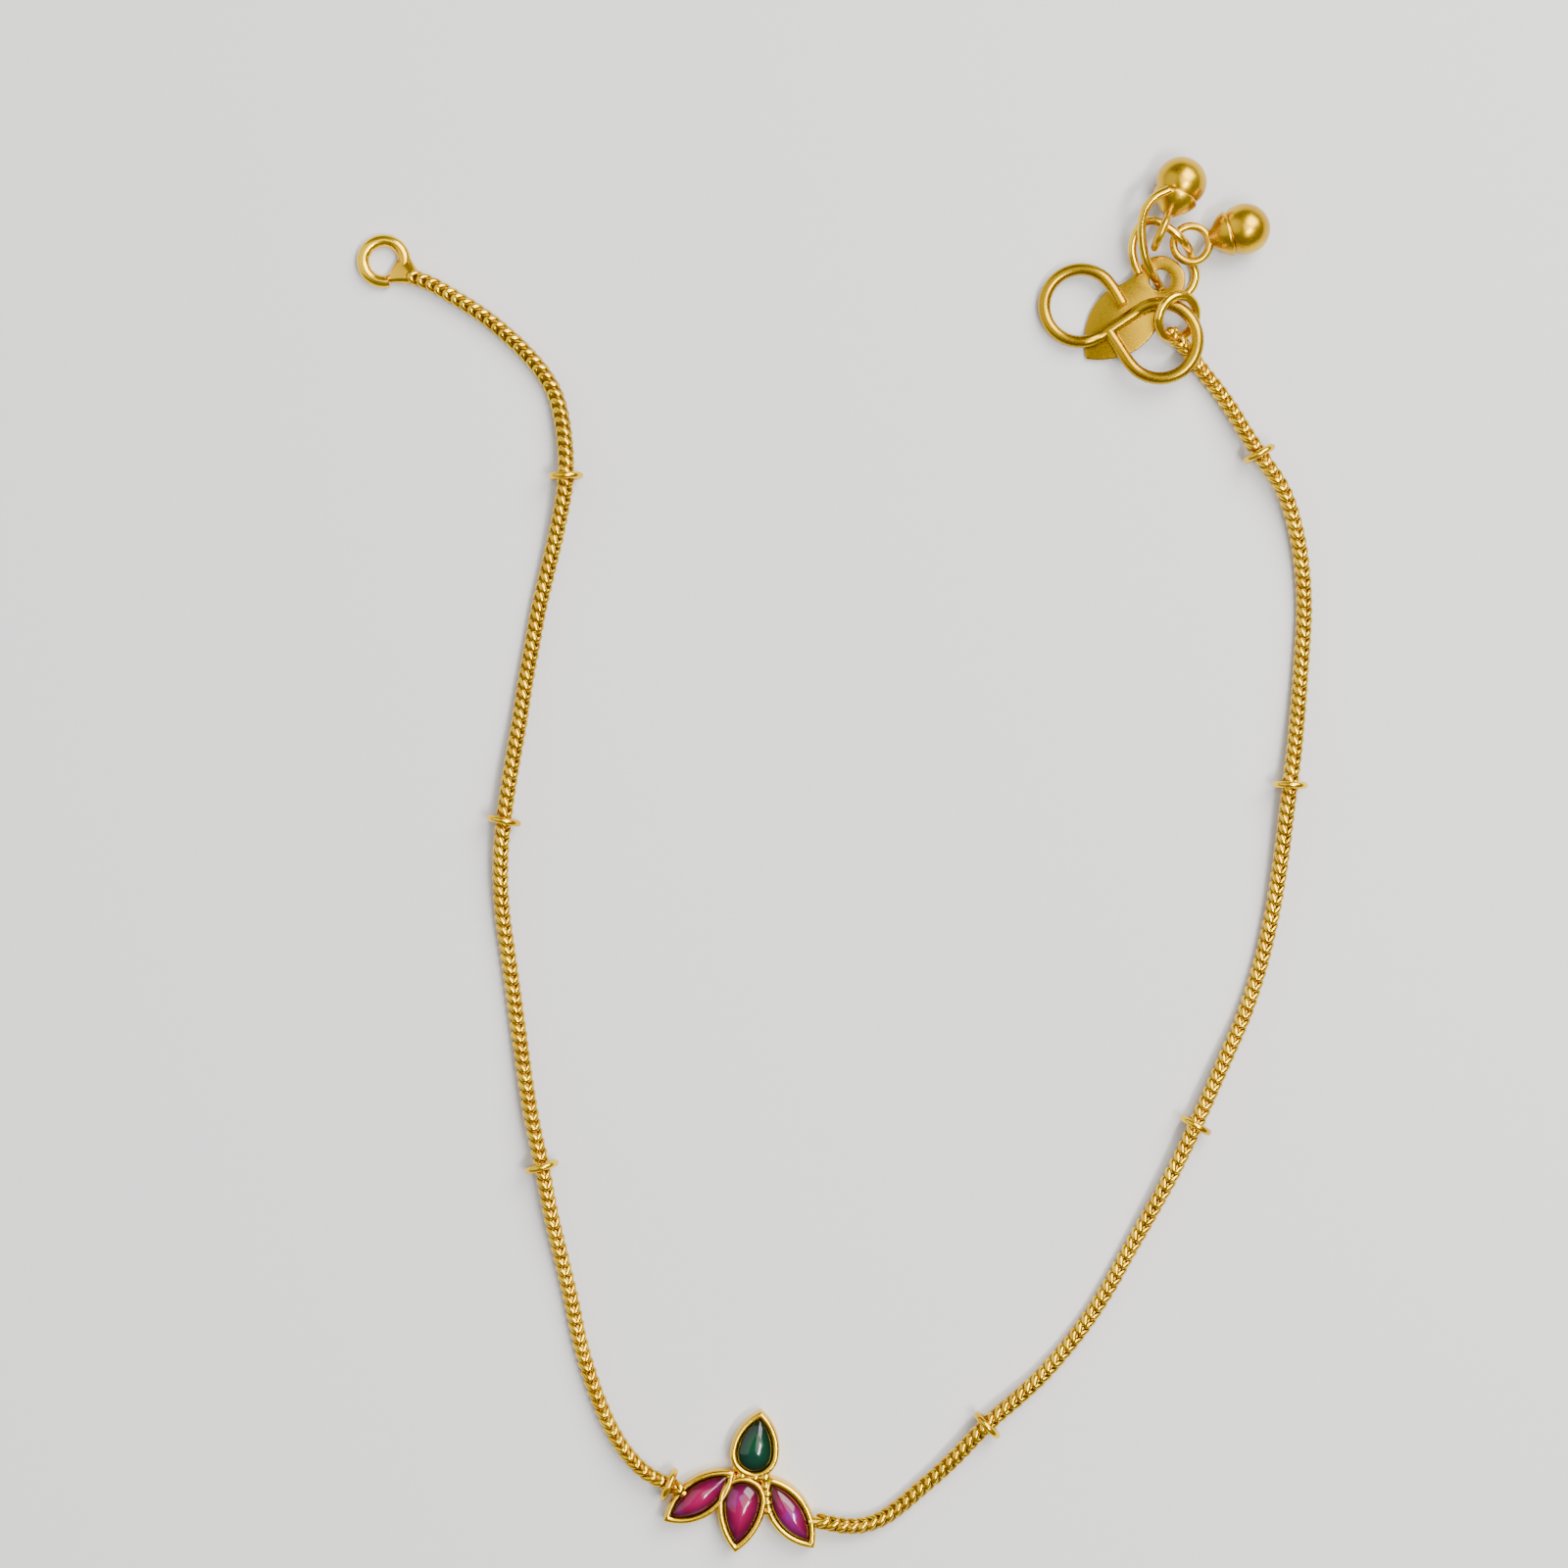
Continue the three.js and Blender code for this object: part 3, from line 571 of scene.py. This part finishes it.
# %% End ring with its web of solder
end_ring_radius = 1.8
end_ring_wire = 0.55
end_ring_place = Vector((-39.4, 51.4, end_ring_wire))
bm = bmesh.new()
ring(
    bm, end_ring_radius, end_ring_wire, Matrix.Translation(end_ring_place), sides=14, start=-20,
    sweep_angle=304,
)
chain_start = route_path("left", 0.1)[0]
web_end = end_ring_place + Vector((0.92, -0.35, 0))
web_shares = (-0.06, 0.0, 0.15, 0.3, 0.45, 0.6, 0.75, 0.86, 0.95, 1.0)
web = [chain_start.lerp(web_end, share) for share in web_shares]
web_ovals = [
    (0.6, 0.6), (0.76, 0.72), (0.88, 0.68), (1.02, 0.62), (1.17, 0.56), (1.33, 0.5), (1.46, 0.44),
    (1.5, 0.38), (1.42, 0.28), (1.15, 0.1),
]
sweep(bm, frames_along(web), web_ovals, sides=20)
finish_piece("cut_end_ring", bm, polished_gold, "gold", "end_ring")

# %% [markdown]
# ## The S-hook
# The hook is one bent wire: a straight mouth, an open loop, a bar across the middle and a closed
# loop whose foot is soldered back on the bar. Two circles and the line that touches both on
# opposite sides give its middle line, just as a jeweller bends it round two pegs. The loops stand
# a little proud of the plate, and the whole clasp leans up towards the chain.

# %% The middle line of the hook
open_radius = 3.15
closed_radius = 3.25
hook_span = 7.6
hook_rise = 0.3
hook_wire = 0.55
hook_turn = math.radians(-24.6)
mouth_angle = 56
mouth_length = 1.9
foot_angle = -120
leaf_depth = 0.9
leaf_tip = (-3.05, -3.0)
floor_gap = 0.03
clasp_tilt = math.radians(8.3)
clasp_height = floor_gap + leaf_depth - leaf_tip[0] * math.sin(clasp_tilt)
clasp_place = (
    Matrix.Translation((24.6, 45.9, clasp_height)) @ Matrix.Rotation(-clasp_tilt, 4, "Y")
)


def loop_points(middle, radius, start, end, steps=14):
    turns = [math.radians(start + (end - start) * i / steps) for i in range(steps + 1)]
    return [
        Vector((middle + radius * math.cos(turn), radius * math.sin(turn), hook_rise))
        for turn in turns
    ]


bar_slope = math.degrees(math.asin((open_radius + closed_radius) / hook_span))
open_loop = loop_points(-hook_span / 2, open_radius, mouth_angle, bar_slope + 270)
closed_loop = loop_points(hook_span / 2, closed_radius, bar_slope + 90, foot_angle)
open_loop[-1].z = 0
closed_loop[0].z = 0
foot = open_loop[-1].lerp(closed_loop[0], 0.2)
mouth_turn = math.radians(mouth_angle)
mouth = open_loop[0] + mouth_length * Vector((math.sin(mouth_turn), -math.cos(mouth_turn), 0))
bar = [open_loop[-1].lerp(closed_loop[0], share) for share in (0.33, 0.67)]
near_foot = closed_loop[-1].lerp(foot, 0.55)
near_foot.z = 0.35 * hook_rise
hook_line = [mouth, *open_loop, *bar, *closed_loop, near_foot, foot]
turned = clasp_place @ Matrix.Rotation(hook_turn, 4, "Z")
hook_line = [turned @ point for point in hook_line]
print("hook wire points:", len(hook_line))

# %% [markdown]
# The leaf plate is cut from sheet: pointed below, wide at the shoulder, with a waist and a round
# eye that is drilled for the bell ring. Its outline is one smooth curve through a few points on
# each side. The sheet between outline and hole is filled with triangles and extruded to its
# thickness, and its edges are bevelled, because stamped sheet has soft edges that catch the light.

# %% Hook and leaf in one soldered piece
leaf_side = [
    (0.0, 0.0), (0.95, 0.8), (1.95, 2.0), (2.6, 3.4), (2.8, 4.95), (2.62, 6.1), (2.2, 7.0),
    (2.02, 7.8), (2.1, 8.6), (2.15, 9.4), (1.86, 10.43), (1.08, 11.21), (0.0, 11.5),
]
leaf_thickness = 0.45
leaf_turn = math.radians(-43.8)
leaf_bevel = 0.12
leaf_eye = 9.35
leaf_hole_radius = 0.95


def leaf_outline():
    right = through([(x, y, 0) for x, y in leaf_side], 0.4)
    left = [Vector((-p.x, p.y, 0)) for p in right[-2:0:-1]]
    return [*right, *left]


def outline_edges(bm, points):
    verts = [bm.verts.new(p) for p in points]
    return [bm.edges.new((a, b)) for a, b in zip(verts, [*verts[1:], verts[0]])]


bm = bmesh.new()
hole = bmesh.ops.create_circle(
    bm, segments=28, radius=leaf_hole_radius, matrix=Matrix.Translation((0, leaf_eye, 0)))["verts"]
hole_edges = edges_of(hole)
sheet_edges = [*hole_edges, *outline_edges(bm, leaf_outline())]
filled = bmesh.ops.triangle_fill(bm, edges=sheet_edges, use_beauty=True)
plate = [g for g in filled["geom"] if isinstance(g, bmesh.types.BMFace)]
raised = bmesh.ops.extrude_face_region(bm, geom=plate)["geom"]
upper = [g for g in raised if isinstance(g, bmesh.types.BMVert)]
bmesh.ops.translate(bm, vec=(0, 0, leaf_thickness), verts=upper)
bmesh.ops.recalc_face_normals(bm, faces=bm.faces)
brims = [e for e in bm.edges if e.is_manifold and e.calc_face_angle() > 1.2]
bmesh.ops.bevel(
    bm, geom=brims, offset=leaf_bevel, segments=3, profile=0.5, affect="EDGES", material=-1)
leaf_place = (
    clasp_place @ Matrix.Translation((*leaf_tip, -leaf_depth)) @ Matrix.Rotation(leaf_turn, 4, "Z")
)
bmesh.ops.transform(bm, matrix=leaf_place, verts=bm.verts)
wire(bm, through(hook_line, 0.32), hook_wire, sides=16)
# the hook and leaf take the darker copy of the gold, painted shade
finish_piece("hook_and_leaf", bm, satin_shaded_gold, "gold", "s_hook")

# %% [markdown]
# ## The clasp ring
# A ring links the chain to the closed loop. It stands at a slant, over the hook's wire on one
# side and under it on the other. The end of the chain is soldered to it with a bead that swells and
# thins like a drop, and with a few round grains, each an icosphere.

# %% The slanted clasp ring
clasp_ring_radius = 1.925
clasp_ring_wire = 0.425
clasp_ring_offset = 4.85
clasp_ring_rise = 0.22
clasp_ring_height = clasp_height + clasp_ring_offset * math.tan(clasp_tilt) + clasp_ring_rise
slant = (
    Matrix.Translation((29.45, 46.35, clasp_ring_height))
    @ Matrix.Rotation(math.radians(145), 4, "Z") @ Matrix.Rotation(math.radians(-35), 4, "Y")
)
bead_radius = 0.66
bead_line = [(29.3, 44.55, 1.42), (28.95, 44.75, 1.5), (28.5, 44.98, 1.6), (28.15, 45.2, 1.66)]
clasp_grains = [
    (28.95, 45.1, 1.95, 0.48), (28.6, 44.65, 1.85, 0.4), (29.3, 45.2, 1.7, 0.42),
    (30.22, 43.95, 1.5, 0.42),
]


def solder_grains(bm, grains, middle=(0, 0, 0)):
    for x, y, z, size in grains:
        place = Matrix.Translation(Vector(middle) + Vector((x, y, z)))
        bmesh.ops.create_icosphere(bm, subdivisions=3, radius=size, matrix=place)


bm = bmesh.new()
ring(bm, clasp_ring_radius, clasp_ring_wire, slant, around=44, sides=14)
bead = through(bead_line, 0.18)
bead_radii = [
    bead_radius * math.sin(math.pi * (0.25 + 0.7 * i / (len(bead) - 1))) for i in range(len(bead))
]
sweep(bm, frames_along(bead), bead_radii, sides=16)
solder_grains(bm, clasp_grains)
finish_piece("slanted_clasp_ring", bm, polished_gold, "gold", "clasp_ring")

# %% [markdown]
# ## The bell ring
# The bells hang from a springy coil of thinner wire that was bent by hand, so its middle line is
# a list of points that winds through the leaf's hole, under the plate and through both bells'
# loops.

# %% The bell ring
bell_ring_wire = 0.38
bell_ring_line = [
    (28.6, 57.1, 4.7), (27.4, 56.5, 4.65), (26.55, 55.5, 4.4), (26.25, 54.2, 3.95),
    (26.35, 52.6, 3.4), (26.7, 51.2, 2.9), (27.1, 50.4, 2.45), (27.5, 49.85, 1.9),
    (27.87, 49.42, 1.1), (28.2, 49.0, 0.52), (29.0, 48.45, 0.41), (30.1, 48.4, 0.41),
    (30.95, 49.2, 0.42), (31.2, 50.2, 0.5), (30.95, 51.1, 0.8), (30.75, 51.75, 1.2),
    (30.45, 52.3, 1.95), (29.95, 52.85, 2.7), (29.25, 53.5, 3.05), (28.3, 54.15, 3.1),
    (27.4, 54.6, 3.0), (26.6, 54.5, 2.75), (25.85, 53.6, 2.4), (25.55, 52.4, 2.15),
    (25.75, 51.2, 1.9), (26.15, 50.2, 1.75),
]
bm = bmesh.new()
wire(bm, through(bell_ring_line, 0.22), bell_ring_wire, sides=14)
finish_piece("bell_coil", bm, polished_gold, "gold", "bell_ring")

# %% [markdown]
# ## The bells
# A bell is turned about an axis: a ball, a flared cap that is soldered over its top, and a small
# loop. Its profile is drawn with a pen that starts at the bottom of the ball. An arc of the pen is
# a vertex that is spun, and a straight line is a vertex that is extruded. The whole line is then
# spun round the axis. Each bell lies on the floor, with its axis turned towards the coil.

# %% A pen for profiles and outlines
def pen_arc(bm, vert, centre, degrees, steps, axis=(0, 0, 1)):
    out = bmesh.ops.spin(
        bm, geom=[vert], cent=centre, axis=axis, angle=math.radians(degrees), steps=steps)
    return next(g for g in out["geom_last"] if isinstance(g, bmesh.types.BMVert))


def pen_line(bm, vert, to):
    fresh = bmesh.ops.extrude_vert_indiv(bm, verts=[vert])["verts"][0]
    fresh.co = to
    return fresh


ball_radius = 2.2
cap_height = 1.1
cap_overlap = 0.06
bell_loop_radius = 1.55
bell_loop_wire = 0.35
bell_reach = ball_radius + cap_height - cap_overlap + bell_loop_radius
cap_profile = [
    (1.82, 1.3), (1.92, 1.38), (1.97, 1.5), (1.95, 1.64), (1.86, 1.8), (1.74, 2.0), (1.58, 2.22),
    (1.38, 2.44), (1.16, 2.64), (0.95, 2.82), (0.8, 2.97), (0.68, 3.1), (0.5, 3.21), (0.0, 3.25),
]


def bell_mesh():
    bm = bmesh.new()
    pen = bm.verts.new((0, 0, -ball_radius))
    pen = pen_arc(bm, pen, (0, 0, 0), -129.0, 22, axis=(0, 1, 0))
    for r, z in cap_profile:
        pen = pen_line(bm, pen, (r, 0, z))
    bmesh.ops.spin(
        bm, geom=[*bm.verts, *bm.edges], cent=(0, 0, 0), axis=(0, 0, 1), angle=2 * math.pi,
        steps=40, use_merge=True,
    )
    upright = Matrix.Translation((0, 0, bell_reach)) @ Matrix.Rotation(math.pi / 2, 4, "X")
    ring(bm, bell_loop_radius, bell_loop_wire, upright, around=36)
    return bm


def bell(name, node, spot, heading, lift, roll):
    bm = bell_mesh()
    heading, lift, roll = (math.radians(a) for a in (heading, lift, roll))
    level = math.cos(lift)
    axis = Vector((math.cos(heading) * level, math.sin(heading) * level, math.sin(lift)))
    side = Vector((0, 0, 1)).cross(axis).normalized()
    basis = Matrix((side, axis.cross(side), axis)).transposed().to_4x4()
    place = Matrix.Translation((*spot, ball_radius)) @ basis @ Matrix.Rotation(roll, 4, "Z")
    bmesh.ops.transform(bm, matrix=place, verts=bm.verts)
    finish_piece(name, bm, bell_shaded_gold, "gold", node)


bell("round_bell_1", "bell_1", (29.8, 58.05), 247.5, 11.5, 90)
bell("round_bell_2", "bell_2", (35.3, 54.0), 195.5, -2, 0)

# %% [markdown]
# ## The flower's outlines
# Four bezel cups are soldered side by side: a drop for the green stone, a longer drop for
# the middle pink one and a petal on each side. A drop is a round end and two arcs that meet
# in a point, so the pen draws it as three arcs. A petal is two arcs, one bowed more than the other.
# Both can be drawn smaller by an inset, which keeps the centres of the arcs.

# %% Outlines of a drop and of a petal
flower_middle = Vector((-7.65, -54.2, 0))
bezel_wall = 0.57
bezel_height = 2.0
bezel_floor = 0.5


def draw_drop(bm, radius, length, inset, steps=16):
    tip = length - radius
    side = (radius**2 + tip**2) / (2 * radius)
    offset, side, radius = side - radius, side - inset, radius - inset
    swing = math.degrees(math.acos(offset / side))
    start = bm.verts.new((0, side * math.sin(math.radians(swing)), 0))
    pen = pen_arc(bm, start, (-offset, 0, 0), -swing, steps)
    pen = pen_arc(bm, pen, (0, 0, 0), -180, 2 * steps)
    pen_arc(bm, pen, (offset, 0, 0), -swing, steps)


def draw_petal(bm, chord, left_bow, right_bow, inset, steps=18):
    left, right = ((chord**2 / 4 + bow**2) / (2 * bow) for bow in (left_bow, right_bow))
    left_centre, right_centre = left - left_bow, right_bow - right
    left, right, gap = left - inset, right - inset, left_centre - right_centre
    across = (left**2 - right**2 + gap**2) / (2 * gap)
    x, y = left_centre - across, math.sqrt(left**2 - across**2)
    swing = math.degrees(math.atan2(y, x - right_centre))
    start = bm.verts.new((x, y, 0))
    pen = pen_arc(bm, start, (right_centre, 0, 0), -2 * swing, steps)
    pen_arc(bm, pen, (left_centre, 0, 0), -2 * math.degrees(math.atan2(y, left_centre - x)), steps)


def petal_setting(tip, root, left_bow, right_bow):
    run = Vector(tip) - Vector(root)
    heading = math.degrees(math.atan2(run.y, run.x)) - 90
    middle = (Vector(tip) + Vector(root)) / 2
    return lambda bm, inset: draw_petal(bm, run.length, left_bow, right_bow, inset), middle, heading


def drop_setting(radius, length, spot, heading):
    return lambda bm, inset: draw_drop(bm, radius, length, inset), Vector(spot), heading


settings = {
    "green": drop_setting(2.12, 5.87, (0.5, 2.08), -9),
    "pink_middle": drop_setting(2.13, 6.69, (-0.55, -1.98), 171.8),
    "pink_left": petal_setting((-7.4, -3.75), (-1.2, 0.6), 1.9, 1.62),
    "pink_right": petal_setting((5.65, -6.1), (1.6, 0.1), 1.62, 1.9),
}


def setting_place(name, z=0.0):
    _, spot, heading = settings[name]
    turned = Matrix.Rotation(math.radians(heading), 4, "Z")
    return Matrix.Translation(flower_middle + Vector((*spot, z))) @ turned


# %% [markdown]
# ## The flower's settings
# A cup is its outline drawn again and again: at the foot, up the wall, over a rounded lip, each
# time a little smaller, and down again inside. Each outline is bridged to the one before, and the
# first and the last are filled. A round backing and grains of solder hold the cups together, and
# a stub of wire on each side meets the chain.

# %% Four cups, the backing, the solder and the two stubs
backing_radius = 1.75
stub_radius = 0.46
flower_grains = [
    (1.42, 0.0, 1.55, 0.56), (1.45, -0.75, 1.55, 0.5), (1.6, -1.45, 1.6, 0.45),
    (1.62, -2.2, 1.6, 0.44), (1.72, -2.9, 1.58, 0.46), (0.55, 0.0, 1.5, 0.55),
    (-0.6, 0.15, 1.45, 0.5), (-1.55, 0.1, 1.5, 0.5),
]
cup_rows = [
    (0.0, 0.0), (0.0, 1.72), (0.04, 1.85), (0.14, 1.96), (0.285, 2.0),
    (0.43, 1.96), (0.53, 1.85), (bezel_wall, 1.72), (bezel_wall, bezel_floor),
]


def outline_at(bm, name, inset, z):
    known = set(bm.verts)
    settings[name][0](bm, inset)
    bmesh.ops.remove_doubles(bm, verts=[v for v in bm.verts if v not in known], dist=1e-3)
    fresh = [v for v in bm.verts if v not in known]
    bmesh.ops.transform(bm, matrix=setting_place(name, z), verts=fresh)
    return edges_of(fresh)


def cup(bm, name):
    below = outline_at(bm, name, *cup_rows[0])
    bmesh.ops.contextual_create(bm, geom=below)
    for inset, z in cup_rows[1:]:
        above = outline_at(bm, name, inset, z)
        bmesh.ops.bridge_loops(bm, edges=[*below, *above])
        below = above
    bmesh.ops.contextual_create(bm, geom=below)


bm = bmesh.new()
for name in settings:
    cup(bm, name)
bmesh.ops.create_cone(
    bm, cap_ends=True, segments=32, radius1=backing_radius, radius2=backing_radius,
    depth=bezel_floor,
    matrix=Matrix.Translation(flower_middle + Vector((0, -0.4, bezel_floor / 2))))
solder_grains(bm, flower_grains, flower_middle)
left_end = route_path("left", 0.1)
right_start = route_path("right", 0.1)
stub_left = [flower_middle + Vector((-5.55, -1.5, 1.55)), left_end[-1], left_end[-5]]
stub_right = [flower_middle + Vector((5.2, -3.8, 1.55)), right_start[0], right_start[4]]
for stub in (stub_left, stub_right):
    path = through(stub, 0.2)
    sweep(bm, frames_along(path), [stub_radius] * len(path), sides=14)
finish_piece("flower_cups", bm, polished_gold, "gold", "flower_setting")

# %% [markdown]
# ## Cabochons
# A stone starts as the same outline, inset by the wall and a hair of room. Its rim is
# extruded up to the girdle and then again and again towards the middle, along an arc, which
# gives a smooth dome over any outline. The last small rim is filled.

# %% Cut the four stones
stone_room = 0.02
stone_seat = 0.1
girdle_height = 1.22
dome_height = 0.7
dome_lean = math.radians(64)


def cabochon(name, node, material, slot_name, steps=12):
    bm = bmesh.new()
    heart = bm.verts.layers.float.new("heart")
    settings[name][0](bm, bezel_wall + stone_room)
    bmesh.ops.remove_doubles(bm, verts=bm.verts, dist=1e-3)
    rim = list(bm.edges)
    bmesh.ops.contextual_create(bm, geom=rim)
    middle = sum((v.co for v in bm.verts), Vector()) / len(bm.verts)
    rows = [(1.0, girdle_height)]
    for i in range(1, steps):
        angle = dome_lean * (1 - i / steps)
        rise = (math.cos(angle) - math.cos(dome_lean)) / (1 - math.cos(dome_lean))
        rows.append((math.sin(angle) / math.sin(dome_lean), girdle_height + dome_height * rise))
    size, height = 1.0, 0.0
    for new_size, new_height in rows:
        out = bmesh.ops.extrude_edge_only(bm, edges=rim)["geom"]
        verts = [g for g in out if isinstance(g, bmesh.types.BMVert)]
        fresh = set(verts)
        rim = [g for g in out if isinstance(g, bmesh.types.BMEdge) and set(g.verts) <= fresh]
        factor = new_size / size
        bmesh.ops.scale(bm, vec=(factor, factor, 1), verts=verts, space=Matrix.Translation(-middle))
        bmesh.ops.translate(bm, vec=(0, 0, new_height - height), verts=verts)
        # heart: how much of the painted middle glow, against the painted rim shade
        for vert in verts:
            vert[heart] = (1 - new_size**2) ** 1.5
        size, height = new_size, new_height
    bmesh.ops.contextual_create(bm, geom=rim)
    bmesh.ops.transform(
        bm, matrix=setting_place(name, bezel_floor + stone_seat), verts=bm.verts)
    finish_piece(f"cabochon_{name}", bm, material, slot_name, node, sharp=60)


cabochon("green", "stone_green", green_stone, "green_stone")
for name in ("pink_middle", "pink_left", "pink_right"):
    cabochon(name, f"stone_{name}", pink_stone, "pink_stone")

# %% Floor
bm = bmesh.new()
bmesh.ops.create_grid(bm, x_segments=1, y_segments=1, size=1.2)
floor_mesh = bpy.data.meshes.new("floor")
bm.to_mesh(floor_mesh)
bm.free()
floor = bpy.data.objects.new("floor", floor_mesh)
bpy.context.collection.objects.link(floor)
floor_material = bpy.data.materials.new("pale_floor")
floor_material.use_nodes = True
floor_shader = floor_material.node_tree.nodes["Principled BSDF"]
floor_shader.inputs["Base Color"].default_value = (0.62, 0.62, 0.62, 1)
floor_shader.inputs["Roughness"].default_value = 0.8
floor_mesh.materials.append(floor_material)

# %% [markdown]
# ## Light
# One even light would leave the gold flat, so a large soft lamp stands on the upper right and a
# weaker one on the left. A second soft lamp, nearly overhead, lights the ridges of the wires, and
# a narrow strip beside it adds the bright streaks on bells and stones.

# %% Lights
def soft_lamp(name, place, size, power, tint=(1, 1, 1)):
    lamp = bpy.data.lights.new(name, "AREA")
    lamp.shape = "RECTANGLE"
    lamp.size, lamp.size_y = size
    lamp.energy = power
    lamp.color = tint
    stand = bpy.data.objects.new(name, lamp)
    stand.location = place
    stand.rotation_euler = (-Vector(place)).to_track_quat("-Z", "Y").to_euler()
    bpy.context.collection.objects.link(stand)


soft_lamp("key_lamp", (0.3, 0.32, 0.46), (0.42, 0.42), 7.0, (1, 0.98, 0.95))
soft_lamp("top_lamp", (0.17, 0.08, 0.7), (0.5, 0.5), 3.0, (1, 0.98, 0.95))
soft_lamp("fill_lamp", (-0.45, 0.12, 0.36), (0.65, 0.65), 1.6, (0.97, 0.98, 1))
soft_lamp("strip_lamp", (0.17, -0.12, 0.5), (0.24, 0.05), 2.6)

world = bpy.data.worlds.new("studio")
bpy.context.scene.world = world
world.use_nodes = True
background = world.node_tree.nodes["Background"]
background.inputs["Color"].default_value = (1.0, 0.98, 0.95, 1)
background.inputs["Strength"].default_value = 0.25
